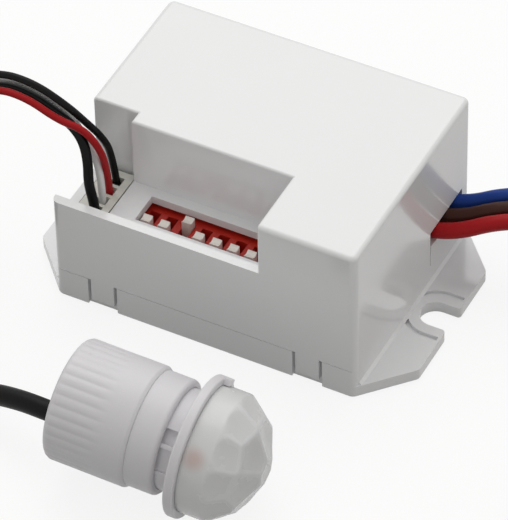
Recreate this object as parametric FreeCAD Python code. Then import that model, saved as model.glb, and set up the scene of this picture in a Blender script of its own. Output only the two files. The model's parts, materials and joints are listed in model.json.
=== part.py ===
import FreeCAD, Part
import math
import os

from FreeCAD import Placement, Rotation, Vector

# Two-part motion sensor: a mains control box with an option switch, and a remote
# sensor head on a thin cable. All sizes are in millimetres.
#
# The shapes are made with X along the box, Y from front to back and Z up, from the
# front left bottom corner of the box. Each one is then moved so that the origin is
# the centre of the box's underside.

os.makedirs("parts", exist_ok=True)

# Control box shell
box_length = 44.2
box_depth = 33.8
box_height = 25.3
wall = 1.3
roof = 1.6
floor_thickness = 1.6
parting_height = 4.9
parting_line = 0.12
corner_radius = 1.0
foot_radius = 1.2
top_edge_radius = 0.7
bottom_edge_radius = 0.5
soft_edge_radius = 0.35

# Lip that centres the cover on the base
lip_height = 1.1
lip_thickness = 0.55
lip_clearance = 0.08

# Recess for the option switch, and pocket for the sensor plug
recess_right = 30.2
recess_back = 10.2
recess_floor = 14.6
recess_floor_thickness = 1.2
front_wall_height = 17.0
pocket_right = 6.7
pocket_back = 12.1
end_wall_height = 13.05

# Mounting ears
ear_reach = 5.8
ear_thickness = 2.0
ear_half_length = 10.1
ear_corner_inset = 0.5
ledge_width = 0.4
ledge_height = 0.35
ear_corner_radius = 0.8
slot_width = 4.4
slot_end_from_wall = 3.3
slot_mouth_radius = 0.5
groove_gap = 1.5
groove_width = 0.7
groove_depth = 0.5
groove_end_margin = 0.35

# Snap tongues of the cover, in notches of the base
tongue_inset = 7.05
tongue_width = 3.4
tongue_bottom = 1.3
notch_side_gap = 0.45
notch_foot_radius = 0.5
nib_width = 2.2
nib_depth = 0.4
nib_height = 0.8
nib_rise = 0.6
nib_clearance = 0.12

# Opening for the mains leads
lead_opening_width = 9.6
lead_opening_from_back = 2.3
lead_opening_top = 10.9
lead_sill = 8.25
sill_side_clearance = 0.15

# Main board and what holds it
board_clearance = 0.4
board_thickness = 1.6
board_underside = 4.6
post_radius = 1.5
pin_radius = 0.75
pin_clearance = 0.08
pin_below_top = 0.2
post_inset_left = 3.4
post_inset_right = 4.7
rib_width = 1.2
rib_depth = 1.0
rib_board_gap = 0.06
inner_wall_board_gap = 0.5
solder_hole_clearance = 0.05

# Option switch
switch_count = 8
switch_pitch = 2.54
first_lever_x = 11.15
switch_centre_y = 6.3
switch_end_margin = 2.2
switch_width = 9.7
switch_height = 6.2
switch_standoff = 0.3
switch_row_spacing = 7.62
lever_travel = 2.0
lever_width = 1.3
lever_length = 1.25
lever_rise = 1.4
lever_depth_in_body = 2.0
lever_side_clearance = 0.1
lever_dish = 0.25
raised_lever = 3
window_side_margin = 0.3
window_half_depth = 2.4
pin_width = 0.5
pin_tail = 2.6

# Sensor socket on the board, and the plug in it
plug_ways = 4
plug_pitch = 2.0
socket_x = 4.15
socket_pin_x = 4.5
socket_centre_y = 6.6
socket_width = 4.5
socket_length = 9.9
socket_height = 6.0
socket_floor = 1.0
socket_wall = 0.5
plug_play = 0.1
plug_shoulder_gap = 0.1
plug_shoulder_height = 1.9
plug_shoulder_margin = 0.1
channel_width = 1.5
contact_width = 1.3
contact_bore = 0.62
contact_top_below_plug = 1.2
header_pin_above_board = 4.4

# Plug wires and cable
thick_wire_diameter = 1.35
wire_diameter = 1.0
cable_diameter = 2.8
sleeve_start_diameter = 4.8
sleeve_end_diameter = 3.6
sleeve_length = 6.0

# Put-away coil of the cable
coil_x = -26.4
coil_back_y = 5.7
coil_outer_radius = 17.8
coil_pitch = 3.25
coil_half_turns = 9
tie_thickness = 0.4
tie_width = 3.0
tie_clearance = 0.1
tie_side_clearance = 0.45

# Mains leads
lead_diameter = 2.2
lead_core_diameter = 0.9
lead_end_length = 5.0
lead_end_diameter = 1.1
lead_core_setback = 1.3

# Sensor head, along its own axis from the middle of the flange
head_x = 34.17
head_y = -24.11
head_yaw = 2.75
head_pitch = -4.5
flange_radius = 9.5
flange_thickness = 1.3
neck_radius = 6.8
neck_bore_radius = 5.7
neck_end = 14.4
flange_edge_radius = 0.25
keyway_width = 2.0
keyway_depth = 0.7
keyway_angle = 41.0
relief_width = 3.4
relief_depth = 0.5
relief_angle = 69.0
spigot_height = 1.6
spigot_thickness = 1.0
bump_width = 1.4
bump_depth = 1.1
bump_angle = -40.0
lens_radius = 8.55
lens_wall = 0.9
lens_fit = 0.08
lens_sphere_radius = 9.2
lens_sphere_centre = 0.7
lens_dome_wall = 0.5
lens_front_distance = 8.75
lens_inner_count = 6
lens_inner_tilt = 27.0
lens_inner_start = 22.0
lens_inner_distance = 8.5
lens_outer_count = 11
lens_outer_tilt = 53.5
lens_outer_start = 5.5
lens_outer_distance = 8.87
clamp_gap = 2.3
clamp_running = 0.06
collar_radius = 7.75
collar_length = 3.9
collar_edge_radius = 0.6
key_clearance = 0.1
nut_gap = 0.1
nut_radius = 8.15
nut_length = 11.2
nut_edge_radius = 0.9
nut_rib_count = 36
nut_rib_depth = 0.12
nut_shoulder_radius = 0.4
grommet_length = 3.0
grommet_play = 0.04
cable_drop_in_neck = 4.0

# Inside the sensor head
head_board_thickness = 1.0
head_board_play = 0.1
can_radius = 4.1
can_base_radius = 4.6
can_base_height = 0.6
can_height = 4.2
can_window_width = 4.0
can_window_height = 3.0
can_window_thickness = 0.4
can_pin_radius = 0.23
can_pin_circle = 2.5
chip_light_size = (1.6, 0.8, 0.7)
small_parts_radius = 5.15
indicator_angle = 57.0
daylight_angle = -130.0
head_wire_diameter = 0.7
head_wire_spread = 0.8

# Parts on the main board
part_gap = 1.1
relay_left = 9.5
relay_right_inset = 14.7
relay_front_gap = 2.4
relay_width = 10.2
relay_head_room = 2.1
film_right_gap = 7.0
film_height = 12.0
part_back_gap = 1.3
output_capacitor_gap = 3.1
output_capacitor_height = 11.0
main_capacitor_play = 1.7
main_capacitor_height = 12.0
main_capacitor_y = 6.4
rectifier_width = 6.0
rectifier_right_gap = 3.9
rectifier_leg_inset = 0.6
fuse_length = 7.0
fuse_radius = 1.2
fuse_gap = 1.9
disc_thickness = 2.8
disc_gap = 1.5
disc_back_gap = 1.7
choke_x = 5.2
choke_back_gap = 6.3
choke_radius = 2.9
choke_height = 8.0
regulator_from_back = 7.4
chip_length = 8.7
chip_width = 3.9
chip_pin_pitch = 1.27
chip_pins_per_side = 7

origin_shift = Vector(-box_length / 2, -box_depth / 2, 0)
board_top = board_underside + board_thickness
plug_top = board_top + socket_height + plug_shoulder_gap + plug_shoulder_height
ceiling = box_height - roof
lead_opening_back = box_depth - lead_opening_from_back
lead_opening_front = lead_opening_back - lead_opening_width
lead_exit = Vector(box_length, lead_opening_back - lead_opening_width / 2, 0)
relay_front = recess_back + wall + relay_front_gap
relay_back = relay_front + relay_width
relay_right = box_length - relay_right_inset


# Small helpers

def block(x0, x1, y0, y1, z0, z1):
    return Part.makeBox(x1 - x0, y1 - y0, z1 - z0, Vector(x0, y0, z0))


def post(x, y, z0, z1, radius):
    return Part.makeCylinder(radius, z1 - z0, Vector(x, y, z0))


def join(shapes):
    return shapes[0].multiFuse(shapes[1:]).removeSplitter()


def round_edges(shape, radius, test):
    chosen = [edge for edge in shape.Edges if test(edge.BoundBox)]
    return shape.makeFillet(radius, chosen)


def is_upright(box):
    return box.ZLength > 0.1 and box.XLength < 0.01 and box.YLength < 0.01


def at_height(z):
    return lambda box: abs(box.ZMin - z) < 0.01 and abs(box.ZMax - z) < 0.01


def mirror_x(shape):
    return shape.mirror(Vector(box_length / 2, 0, 0), Vector(1, 0, 0))


def mirror_y(shape):
    return shape.mirror(Vector(0, box_depth / 2, 0), Vector(0, 1, 0))


def save(node, shape):
    moved = shape.copy()
    moved.translate(origin_shift)
    moved.exportStep("parts/" + node + ".step")


def save_group(node, shapes):
    save(node, Part.makeCompound(shapes))


def prism(points, height):
    outline = Part.makePolygon(points + [points[0]])
    return Part.Face(outline).extrude(height)


# Cord paths: straight runs joined by arcs that touch them

def rounded_path(points):
    edges = []
    radii = []
    start = points[0]
    for before, corner, after in zip(points, points[1:], points[2:]):
        into = (corner - before).normalize()
        out = (after - corner).normalize()
        half_turn = into.getAngle(out) / 2
        reach = 0.45 * min((corner - before).Length, (after - corner).Length)
        radius = reach / math.tan(half_turn)
        inward = (out - into).normalize()
        middle = corner + inward * (math.hypot(radius, reach) - radius)
        arc_start = corner - into * reach
        arc_end = corner + out * reach
        edges.append(Part.LineSegment(start, arc_start).toShape())
        edges.append(Part.Arc(arc_start, middle, arc_end).toShape())
        radii.append(radius)
        start = arc_end
    edges.append(Part.LineSegment(start, points[-1]).toShape())
    return Part.Wire(edges), radii


def sweep(path, diameter):
    first = path.Edges[0]
    heading = first.tangentAt(first.FirstParameter)
    ring = Part.Circle(path.Vertexes[0].Point, heading, diameter / 2).toShape()
    return path.makePipeShell([Part.Wire(ring)], True, False)


def report_tube(node, solid, path, diameter, radii):
    expected = math.pi * diameter ** 2 / 4 * path.Length
    smallest = min(radii) / diameter if radii else 0
    print(node, "length", round(path.Length, 2), "volume ratio", round(solid.Volume / expected, 4),
          "radii", [round(r, 1) for r in radii], "smallest in diameters", round(smallest, 2))


def cord(node, points, diameter):
    path, radii = rounded_path([Vector(*point) for point in points])
    solid = sweep(path, diameter)
    report_tube(node, solid, path, diameter, radii)
    save(node, solid)


# Base of the control box

def ear_outline():
    middle = box_depth / 2
    outer = box_length + ear_reach
    corner_x = box_length - ear_corner_inset
    points = [
        Vector(box_length - 2 * wall, 0, 0),
        Vector(corner_x, 0, 0),
        Vector(outer, middle - ear_half_length, 0),
        Vector(outer, middle + ear_half_length, 0),
        Vector(corner_x, box_depth, 0),
        Vector(box_length - 2 * wall, box_depth, 0),
    ]
    plate = prism(points, Vector(0, 0, ear_thickness))
    plate = round_edges(plate, foot_radius,
                        lambda box: is_upright(box) and abs(box.XMin - corner_x) < 0.01)
    return round_edges(plate, ear_corner_radius,
                       lambda box: is_upright(box) and box.XMin > outer - 0.1)


def foot_ledge():
    low = ear_thickness - 0.1
    points = [Vector(box_length - 0.1, corner_radius, low),
              Vector(box_length + ledge_width, corner_radius, low),
              Vector(box_length + ledge_width, corner_radius, ear_thickness),
              Vector(box_length, corner_radius, ear_thickness + ledge_height),
              Vector(box_length - 0.1, corner_radius, ear_thickness + ledge_height)]
    return prism(points, Vector(0, box_depth - 2 * corner_radius, 0))


def slot_zone(half_width, end_x, z0, z1):
    middle = box_depth / 2
    centre_x = box_length + slot_end_from_wall
    return join([post(centre_x, middle, z0, z1, half_width),
                 block(centre_x, end_x, middle - half_width, middle + half_width, z0, z1)])


def ear():
    outer = box_length + ear_reach
    half_slot = slot_width / 2
    inner_groove = half_slot + groove_gap
    plate = ear_outline().cut(slot_zone(half_slot, outer + 1, -1, ear_thickness + 1))
    plate = round_edges(plate, slot_mouth_radius,
                        lambda box: is_upright(box) and box.XMin > outer - 0.01
                        and abs(abs(box.YMin - box_depth / 2) - half_slot) < 0.01)
    groove_low = ear_thickness - groove_depth
    groove_end = outer - groove_end_margin
    groove = slot_zone(inner_groove + groove_width, groove_end, groove_low, ear_thickness + 1)
    groove = groove.cut(slot_zone(inner_groove, outer + 1, groove_low - 1, ear_thickness + 2))
    groove = groove.common(block(box_length, groove_end, 0, box_depth, groove_low, ear_thickness + 1))
    return plate.cut(groove)


def tongue_centres():
    return [tongue_inset, box_length - tongue_inset]


def snap_notch(centre_x):
    half = tongue_width / 2 + notch_side_gap
    depth = wall - lip_thickness
    top = parting_height + 1
    radius = notch_foot_radius
    curve = radius * (1 - math.sqrt(0.5))
    edges = []
    for side in (-1, 1):
        edge = centre_x + side * half
        foot = Vector(edge + side * radius, -1, 0)
        middle = Vector(edge + side * curve, -1, curve)
        rise = Vector(edge, -1, radius)
        edges.append(Part.Arc(foot, middle, rise).toShape())
        edges.append(Part.LineSegment(rise, Vector(edge, -1, top)).toShape())
        edges.append(Part.LineSegment(foot, Vector(edge + side * radius, -1, -1)).toShape())
    for reach, z in ((half, top), (half + radius, -1)):
        start, end = Vector(centre_x - reach, -1, z), Vector(centre_x + reach, -1, z)
        edges.append(Part.LineSegment(start, end).toShape())
    outline = Part.Wire(Part.__sortEdges__(edges))
    notch = Part.Face(outline).extrude(Vector(0, depth + 1, 0))
    nib_bottom = tongue_bottom + nib_rise
    seat = block(centre_x - nib_width / 2 - nib_clearance, centre_x + nib_width / 2 + nib_clearance,
                 depth - 0.1, depth + nib_depth + nib_clearance - lip_clearance,
                 nib_bottom - nib_clearance, nib_bottom + nib_height + nib_clearance)
    return join([notch, seat])


def parting_steps():
    low = parting_height - parting_line
    return [block(-1, box_length + 1, -1, parting_line, low, parting_height),
            block(-1, box_length + 1, box_depth - parting_line, box_depth + 1, low, parting_height)]


def board_post_places():
    left = post_inset_left
    right = box_length - post_inset_right
    return [(left, 14.5), (left, box_depth - 4.6), (right, 4.2), (right, box_depth - 4.6)]


def make_base_tray():
    tray = block(0, box_length, 0, box_depth, 0, parting_height)
    tray = round_edges(tray, corner_radius, is_upright).cut(parting_steps())
    lip_offset = wall - lip_thickness
    lip = block(lip_offset, box_length - lip_offset, lip_offset, box_depth - lip_offset,
                parting_height - 1, parting_height + lip_height)
    sill = block(box_length - wall, box_length, lead_opening_front + sill_side_clearance,
                 lead_opening_back - sill_side_clearance, parting_height - 1, lead_sill)
    right_ear = ear()
    tray = join([tray, right_ear, mirror_x(right_ear)])
    outer_side = lambda box: at_height(0)(box) and abs(box.YMin - box_depth / 2) > slot_width
    tray = round_edges(tray, bottom_edge_radius, outer_side)
    tray = join([tray, lip, sill, foot_ledge(), mirror_x(foot_ledge())])
    room = block(wall, box_length - wall, wall, box_depth - wall, floor_thickness, box_height)
    notches = []
    for centre_x in tongue_centres():
        notches.append(snap_notch(centre_x))
        notches.append(mirror_y(snap_notch(centre_x)))
    tray = tray.cut([room] + notches)
    posts = []
    for x, y in board_post_places():
        posts.append(post(x, y, floor_thickness - 0.2, board_underside, post_radius))
        posts.append(post(x, y, board_underside - 0.2, board_top - pin_below_top, pin_radius))
    save("base_tray", join([tray] + posts))


# Cover of the control box

def snap_tongue(centre_x):
    thickness = wall - lip_thickness - lip_clearance
    half = tongue_width / 2
    nib_bottom = tongue_bottom + nib_rise
    tongue = block(centre_x - half, centre_x + half, 0, thickness, tongue_bottom, parting_height + 0.5)
    nib = prism([Vector(centre_x - nib_width / 2, thickness - 0.1, nib_bottom),
                 Vector(centre_x - nib_width / 2, thickness, nib_bottom),
                 Vector(centre_x - nib_width / 2, thickness + nib_depth, nib_bottom + nib_height),
                 Vector(centre_x - nib_width / 2, thickness - 0.1, nib_bottom + nib_height)],
                Vector(nib_width, 0, 0))
    return join([tongue, nib])


def switch_window():
    last_lever_x = first_lever_x + (switch_count - 1) * switch_pitch
    side = lever_width / 2 + window_side_margin
    return block(first_lever_x - side, last_lever_x + side,
                 switch_centre_y - window_half_depth, switch_centre_y + window_half_depth,
                 recess_floor - recess_floor_thickness - 1, recess_floor + 1)


def cover_rooms():
    far_x = box_length - wall
    far_y = box_depth - wall
    low = parting_height - 1
    behind_recess = recess_back + wall
    behind_pocket = pocket_back + wall
    return [
        block(recess_right + wall, far_x, wall, far_y, low, ceiling),
        block(wall, far_x, behind_pocket, far_y, low, ceiling),
        block(pocket_right + wall, far_x, behind_recess, behind_pocket + 1, low, ceiling),
        block(pocket_right, recess_right + wall + 1, wall, recess_back + 0.5, low,
              recess_floor - recess_floor_thickness),
        block(pocket_right + wall, recess_right + wall + 1, wall, behind_recess + 1, low,
              recess_floor - recess_floor_thickness),
        block(wall, far_x, wall, far_y, low, board_top + inner_wall_board_gap),
    ]


def recess_cuts():
    over = box_height + 1
    return [
        block(-1, recess_right, -1, wall + 0.1, front_wall_height, over),
        block(-1, recess_right, wall, recess_back, front_wall_height, over),
        block(pocket_right, recess_right, wall, recess_back, recess_floor, front_wall_height + 1),
        block(wall, pocket_right, wall, pocket_back, parting_height - 1, over),
        block(-1, wall + 0.1, wall, pocket_back, end_wall_height, over),
        switch_window(),
    ]


def board_ribs():
    low = board_top + rib_board_gap
    far_x = box_length - wall
    ribs = []
    for y in (9.0, 19.0):
        ribs.append(block(far_x - rib_depth, far_x + 0.2, y, y + rib_width, low, ceiling + 0.2))
    for y in (22.2, 30.0):
        ribs.append(block(wall - 0.2, wall + rib_depth, y, y + rib_width, low, ceiling + 0.2))
    return ribs


def make_top_cover():
    cover = block(0, box_length, 0, box_depth, parting_height, box_height)
    cover = round_edges(cover, corner_radius, is_upright)
    cover = round_edges(cover, top_edge_radius, at_height(box_height))
    cover = cover.cut(recess_cuts())
    cover = round_edges(cover, soft_edge_radius, lambda box: at_height(box_height)(box)
                        and box.XMax < recess_right + 0.4 and box.YMax < pocket_back + 0.4)
    rebate_offset = wall - lip_thickness - lip_clearance
    rebate = block(rebate_offset, box_length - rebate_offset, rebate_offset, box_depth - rebate_offset,
                   parting_height - 1, parting_height + lip_height + lip_clearance)
    lead_opening = block(box_length - wall - 1, box_length + 1, lead_opening_front, lead_opening_back,
                         parting_height - 1, lead_opening_top)
    cover = cover.cut(cover_rooms() + [rebate, lead_opening])
    tongues = []
    for centre_x in tongue_centres():
        tongues.append(snap_tongue(centre_x))
        tongues.append(mirror_y(snap_tongue(centre_x)))
    save("top_cover", join([cover] + tongues + board_ribs()))


# Pin and lead places, shared by the board and what is soldered to it

def switch_pin_places():
    places = []
    for way in range(switch_count):
        for side in (-1, 1):
            places.append((first_lever_x + way * switch_pitch,
                           switch_centre_y + side * switch_row_spacing / 2))
    return places


def header_pin_places():
    first = socket_centre_y - (plug_ways - 1) / 2 * plug_pitch
    return [(socket_pin_x, first + way * plug_pitch) for way in range(plug_ways)]


def square_pin(x, y, z0, z1):
    half = pin_width / 2
    return block(x - half, x + half, y - half, y + half, z0, z1)


def make_main_board():
    edge = wall + board_clearance
    board = block(edge, box_length - edge, edge, box_depth - edge, board_underside, board_top)
    holes = []
    for x, y in board_post_places():
        holes.append(post(x, y, board_underside - 1, board_top + 1, pin_radius + pin_clearance))
    for x, y in switch_pin_places() + header_pin_places():
        holes.append(post(x, y, board_underside - 1, board_top + 1,
                          pin_width * math.sqrt(0.5) + solder_hole_clearance))
    for points in (red_lead_points, brown_lead_points, blue_lead_points):
        x, y, z = points[0]
        holes.append(post(x - lead_core_setback, y, board_underside - 1, board_top + 1,
                          lead_core_diameter / 2 + solder_hole_clearance))
    save("main_board", board.cut(holes))


# Option switch

def lever_x(way):
    return first_lever_x + way * switch_pitch


def lever_rest_y(way):
    side = 1 if way + 1 == raised_lever else -1
    return switch_centre_y + side * lever_travel / 2


def make_switch():
    low = board_top + switch_standoff
    top = low + switch_height
    first = first_lever_x - switch_end_margin
    last = lever_x(switch_count - 1) + switch_end_margin
    half = switch_width / 2
    body = block(first, last, switch_centre_y - half, switch_centre_y + half, low, top)
    slots = []
    for way in range(switch_count):
        reach = lever_travel / 2 + lever_length / 2 + lever_side_clearance
        side = lever_width / 2 + lever_side_clearance
        slots.append(block(lever_x(way) - side, lever_x(way) + side,
                           switch_centre_y - reach, switch_centre_y + reach,
                           top - lever_depth_in_body - lever_side_clearance, top + 1))
    feet = []
    for x in (first, last - 1.2):
        feet.append(block(x, x + 1.2, switch_centre_y - half + 2, switch_centre_y + half - 2,
                          board_top, low + 0.1))
    sockets = [square_pin(x, y, low - 1, low + 1.0) for x, y in switch_pin_places()]
    save("dip_switch_body", join([body] + feet).cut(slots + sockets))
    pins = [square_pin(x, y, board_top - pin_tail, low + 1.0) for x, y in switch_pin_places()]
    save_group("dip_switch_pins", pins)
    for way in range(switch_count):
        save("dip_lever_" + str(way + 1), make_lever(way, top))


def make_lever(way, body_top):
    x = lever_x(way) - lever_width / 2
    y = lever_rest_y(way)
    half = lever_length / 2
    knob_top = body_top + lever_rise
    shank = block(x, x + lever_width, y - half, y + half, body_top - lever_depth_in_body, knob_top)
    dish_radius = (half ** 2 + lever_dish ** 2) / (2 * lever_dish)
    dish_centre = Vector(x - 1, y, knob_top + dish_radius - lever_dish)
    dish = Part.makeCylinder(dish_radius, lever_width + 2, dish_centre, Vector(1, 0, 0))
    return shank.cut(dish)


# Sensor socket and plug

def make_socket_and_plug():
    half_width = socket_width / 2
    half_length = socket_length / 2
    x0 = socket_x - half_width
    x1 = socket_x + half_width
    y0 = socket_centre_y - half_length
    y1 = socket_centre_y + half_length
    socket_top = board_top + socket_height
    cavity = block(x0 + socket_wall, x1 - socket_wall, y0 + socket_wall, y1 - socket_wall,
                   board_top + socket_floor, socket_top + 1)
    seats = [square_pin(x, y, board_top - 1, board_top + socket_floor + 1) for x, y in header_pin_places()]
    socket = block(x0, x1, y0, y1, board_top, socket_top).cut([cavity] + seats)
    save("sensor_socket", socket)

    pins = [square_pin(x, y, board_top - pin_tail, board_top + header_pin_above_board)
            for x, y in header_pin_places()]
    save_group("socket_pins", pins)

    inset = socket_wall + plug_play
    plug_low = board_top + socket_floor + plug_play
    shoulder_low = socket_top + plug_shoulder_gap
    margin = plug_shoulder_margin
    plug = join([
        block(x0 + inset, x1 - inset, y0 + inset, y1 - inset, plug_low, shoulder_low + 0.1),
        block(x0 + margin, x1 - margin, y0 + margin, y1 - margin, shoulder_low, plug_top),
    ])
    half = channel_width / 2
    channels = [block(x - half, x + half, y - half, y + half, plug_low - 1, plug_top + 1)
                for x, y in header_pin_places()]
    save("sensor_plug", plug.cut(channels))

    contacts = []
    half = contact_width / 2
    bore = contact_bore / 2
    contact_top = plug_top - contact_top_below_plug
    for x, y in header_pin_places():
        crimp = block(x - half, x + half, y - half, y + half, plug_low + 0.3, contact_top)
        hollow = block(x - bore, x + bore, y - bore, y + bore, plug_low,
                       board_top + header_pin_above_board + 0.3)
        contacts.append(crimp.cut(hollow))
    save_group("plug_contacts", contacts)


# Parts on the main board

def legs(places, z1, radius=0.3):
    return [post(x, y, board_top, z1, radius) for x, y in places]


def above_board(box):
    return box.ZMax > board_top + 0.2


def make_relay():
    case = block(relay_left, relay_right, relay_front, relay_back, board_top, ceiling - relay_head_room)
    save("relay", round_edges(case, 0.5, above_board))


def make_film_capacitor():
    case = block(relay_left, relay_right - film_right_gap, relay_back + part_gap,
                 box_depth - wall - part_back_gap, board_top, board_top + film_height)
    save("filter_capacitor", round_edges(case, 0.6, above_board))


def can_capacitor(x, y, radius, height):
    can = post(x, y, board_top + 0.3, board_top + 0.3 + height, radius)
    can = round_edges(can, 0.5, lambda box: box.ZLength < 0.01)
    waist = Part.makeTorus(radius + 0.25, 0.6, Vector(x, y, board_top + 1.6))
    spread = 0.3 * radius
    return join([can.cut(waist)] + legs([(x - spread, y), (x + spread, y)], board_top + 0.5))


def make_can_capacitors():
    room_left = recess_right + wall
    room_right = box_length - wall
    radius = (room_right - room_left) / 2 - main_capacitor_play
    x = room_left + radius + 0.4
    save("main_capacitor", can_capacitor(x, main_capacitor_y, radius, main_capacitor_height))
    front = relay_back + part_gap
    back = box_depth - wall - part_back_gap
    save("output_capacitor", can_capacitor(relay_right - output_capacitor_gap, (front + back) / 2,
                                           (back - front) / 2, output_capacitor_height))


def make_bridge_rectifier():
    x0 = recess_right + wall + part_gap
    x1 = box_length - wall - rectifier_right_gap
    y0 = recess_back + wall + 0.9
    y1 = y0 + rectifier_width
    body = block(x0, x1, y0, y1, board_top + 0.5, board_top + 3.4)
    inset = rectifier_leg_inset
    corners = [(x, y) for x in (x0 + inset, x1 - inset) for y in (y0 + inset, y1 - inset)]
    save("bridge_rectifier", join([body] + legs(corners, board_top + 0.8)))


def make_fuse_resistor():
    z = board_top + fuse_radius + 0.4
    y = relay_back - 3.5
    x0 = relay_right + fuse_gap
    along = Vector(1, 0, 0)
    body = Part.makeCylinder(fuse_radius, fuse_length, Vector(x0, y, z), along)
    wire = Part.makeCylinder(0.3, fuse_length + 1.8, Vector(x0 - 0.9, y, z), along)
    save("fuse_resistor", join([body, wire] + legs([(x0 - 0.8, y), (x0 + fuse_length + 0.8, y)], z)))


def make_surge_disc():
    front = relay_back - 0.1
    back = box_depth - wall - disc_back_gap
    radius = (back - front) / 2
    y = (front + back) / 2
    z = board_top + radius + 0.8
    x0 = relay_right + disc_gap
    disc = Part.makeCylinder(radius, disc_thickness, Vector(x0, y, z), Vector(1, 0, 0))
    disc = round_edges(disc, 0.7, lambda box: box.XLength < 0.01)
    middle = x0 + disc_thickness / 2
    spread = 0.53 * radius
    save("surge_disc", join([disc] + legs([(middle, y - spread), (middle, y + spread)], z)))


def make_choke():
    x = choke_x
    y = pocket_back + choke_back_gap
    low = board_top + 0.3
    high = low + choke_height
    lower = post(x, y, low, low + 1.0, choke_radius)
    core = post(x, y, low + 0.9, high - 0.9, choke_radius - 0.4)
    upper = post(x, y, high - 1.0, high, choke_radius)
    save("choke", join([lower, core, upper] + legs([(x - 1.5, y), (x + 1.5, y)], low + 0.2)))


def make_regulator():
    x = choke_x
    y = box_depth - regulator_from_back
    round_body = post(x, y, board_top + 2.0, board_top + 6.6, 2.3)
    body = round_body.common(block(x - 1.3, x + 3, y - 3, y + 3, board_top, board_top + 8))
    places = [(x, y - 1.27), (x, y), (x, y + 1.27)]
    save("regulator", join([body] + legs(places, board_top + 2.2, 0.22)))


def make_control_chip():
    top = board_underside
    x0 = box_length / 2 - 7.1
    y0 = box_depth / 2 + 0.1
    y1 = y0 + chip_width
    body = block(x0, x0 + chip_length, y0, y1, top - 1.6, top - 0.15)
    feet = []
    for way in range(chip_pins_per_side):
        x = x0 + 0.5 + way * chip_pin_pitch
        feet.append(block(x - 0.2, x + 0.2, y0 - 1.0, y1 + 1.0, top - 0.2, top))
        feet.append(block(x - 0.2, x + 0.2, y0 - 0.2, y1 + 0.2, top - 0.9, top - 0.1))
    save("control_chip", join([body] + feet))


# Mains leads. Each list is measured from the middle of the opening in the box's end,
# and runs from the board, out of the box, down to the floor and towards the front.
brown_lead_route = [
    (-7.4, -0.5, 9.35), (-1.6, -0.2, 9.5), (2.4, 0.7, 10.15), (6.4, 2.5, 11.8), (11.8, 4.3, 12.7),
    (17.4, 3.9, 11.7), (22.3, 1.0, 9.4), (25.5, -4.1, 6.7), (27.2, -10.1, 4.3), (28.4, -16.2, 2.4),
    (29.6, -22.4, 1.6), (31.17, -28.91, 1.6), (32.84, -35.81, 1.6), (34.49, -42.62, 1.6),
    (36.13, -49.42, 1.6),
]
red_lead_route = [
    (-7.4, -3.2, 9.35), (-1.5, -3.1, 9.5), (2.7, -2.2, 10.15), (7.2, 0.2, 11.8), (12.2, 1.9, 12.5),
    (17.0, 1.5, 11.4), (21.0, -1.4, 9.1), (23.3, -6.1, 6.5), (24.7, -11.3, 4.2), (26.0, -16.9, 2.4),
    (27.27, -22.96, 1.6), (28.79, -29.28, 1.6), (30.44, -36.09, 1.6), (32.08, -42.89, 1.6),
    (33.73, -49.69, 1.6),
]
blue_lead_route = [
    (-7.4, 2.2, 9.35), (-1.7, 2.7, 9.5), (2.1, 3.6, 10.15), (5.6, 4.8, 11.8), (11.3, 6.6, 12.9),
    (17.6, 6.4, 12.1), (23.4, 3.4, 9.8), (27.5, -2.2, 7.0), (29.5, -8.7, 4.4), (30.8, -15.4, 2.4),
    (31.93, -21.84, 1.6), (33.58, -28.64, 1.6), (35.22, -35.44, 1.6), (36.87, -42.25, 1.6),
    (38.51, -49.05, 1.6),
]


def lead_points(route):
    return [tuple(lead_exit + Vector(*point)) for point in route]


brown_lead_points = lead_points(brown_lead_route)
red_lead_points = lead_points(red_lead_route)
blue_lead_points = lead_points(blue_lead_route)


def lead_core(points):
    x, y, z = points[0]
    radius = lead_core_diameter / 2
    bend = 0.8
    start = Vector(x - 0.05, y, z)
    turn_start = Vector(x - lead_core_setback + bend, y, z)
    turn_end = Vector(x - lead_core_setback, y, z - bend)
    offset = bend * (1 - math.sqrt(0.5))
    middle = Vector(x - lead_core_setback + offset, y, z - offset)
    foot = Vector(x - lead_core_setback, y, board_top - pin_tail)
    path = Part.Wire([Part.LineSegment(start, turn_start).toShape(),
                      Part.Arc(turn_start, middle, turn_end).toShape(),
                      Part.LineSegment(turn_end, foot).toShape()])
    ring = Part.Circle(start, Vector(-1, 0, 0), radius).toShape()
    return path.makePipeShell([Part.Wire(ring)], True, False)


def lead_end(points):
    x, y, z = points[-1]
    before = Vector(*points[-2])
    heading = Vector(x, y, z) - before
    return Part.makeCylinder(lead_end_diameter / 2, lead_end_length, Vector(x, y, z), heading)


def band(x0, x1, y0, y1, top, along):
    if along == "x":
        outside = block(x0, x1, y0 - tie_thickness, y1 + tie_thickness, 0, top + tie_thickness)
        inside = block(x0 - 1, x1 + 1, y0, y1, tie_thickness, top)
        corners = lambda box: box.XLength > 0.1 and box.YLength < 0.01 and box.ZLength < 0.01
    else:
        outside = block(x0 - tie_thickness, x1 + tie_thickness, y0, y1, 0, top + tie_thickness)
        inside = block(x0, x1, y0 - 1, y1 + 1, tie_thickness, top)
        corners = lambda box: box.YLength > 0.1 and box.XLength < 0.01 and box.ZLength < 0.01
    return round_edges(outside, tie_thickness, corners).cut(inside)


def make_leads():
    leads = {"red_lead": red_lead_points, "brown_lead": brown_lead_points, "blue_lead": blue_lead_points}
    for node, points in leads.items():
        cord(node, points, lead_diameter)
    save_group("lead_cores", [lead_core(points) for points in leads.values()])
    save_group("lead_ends", [lead_end(points) for points in leads.values()])
    reach = lead_diameter / 2 + tie_side_clearance
    low = red_lead_points[-3][0] - reach
    high = blue_lead_points[-3][0] + reach
    top = lead_diameter + tie_thickness + 2 * tie_clearance
    middle = brown_lead_points[-3][1]
    save("lead_tie", band(low, high, middle - tie_width / 2, middle + tie_width / 2, top, "y"))


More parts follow.
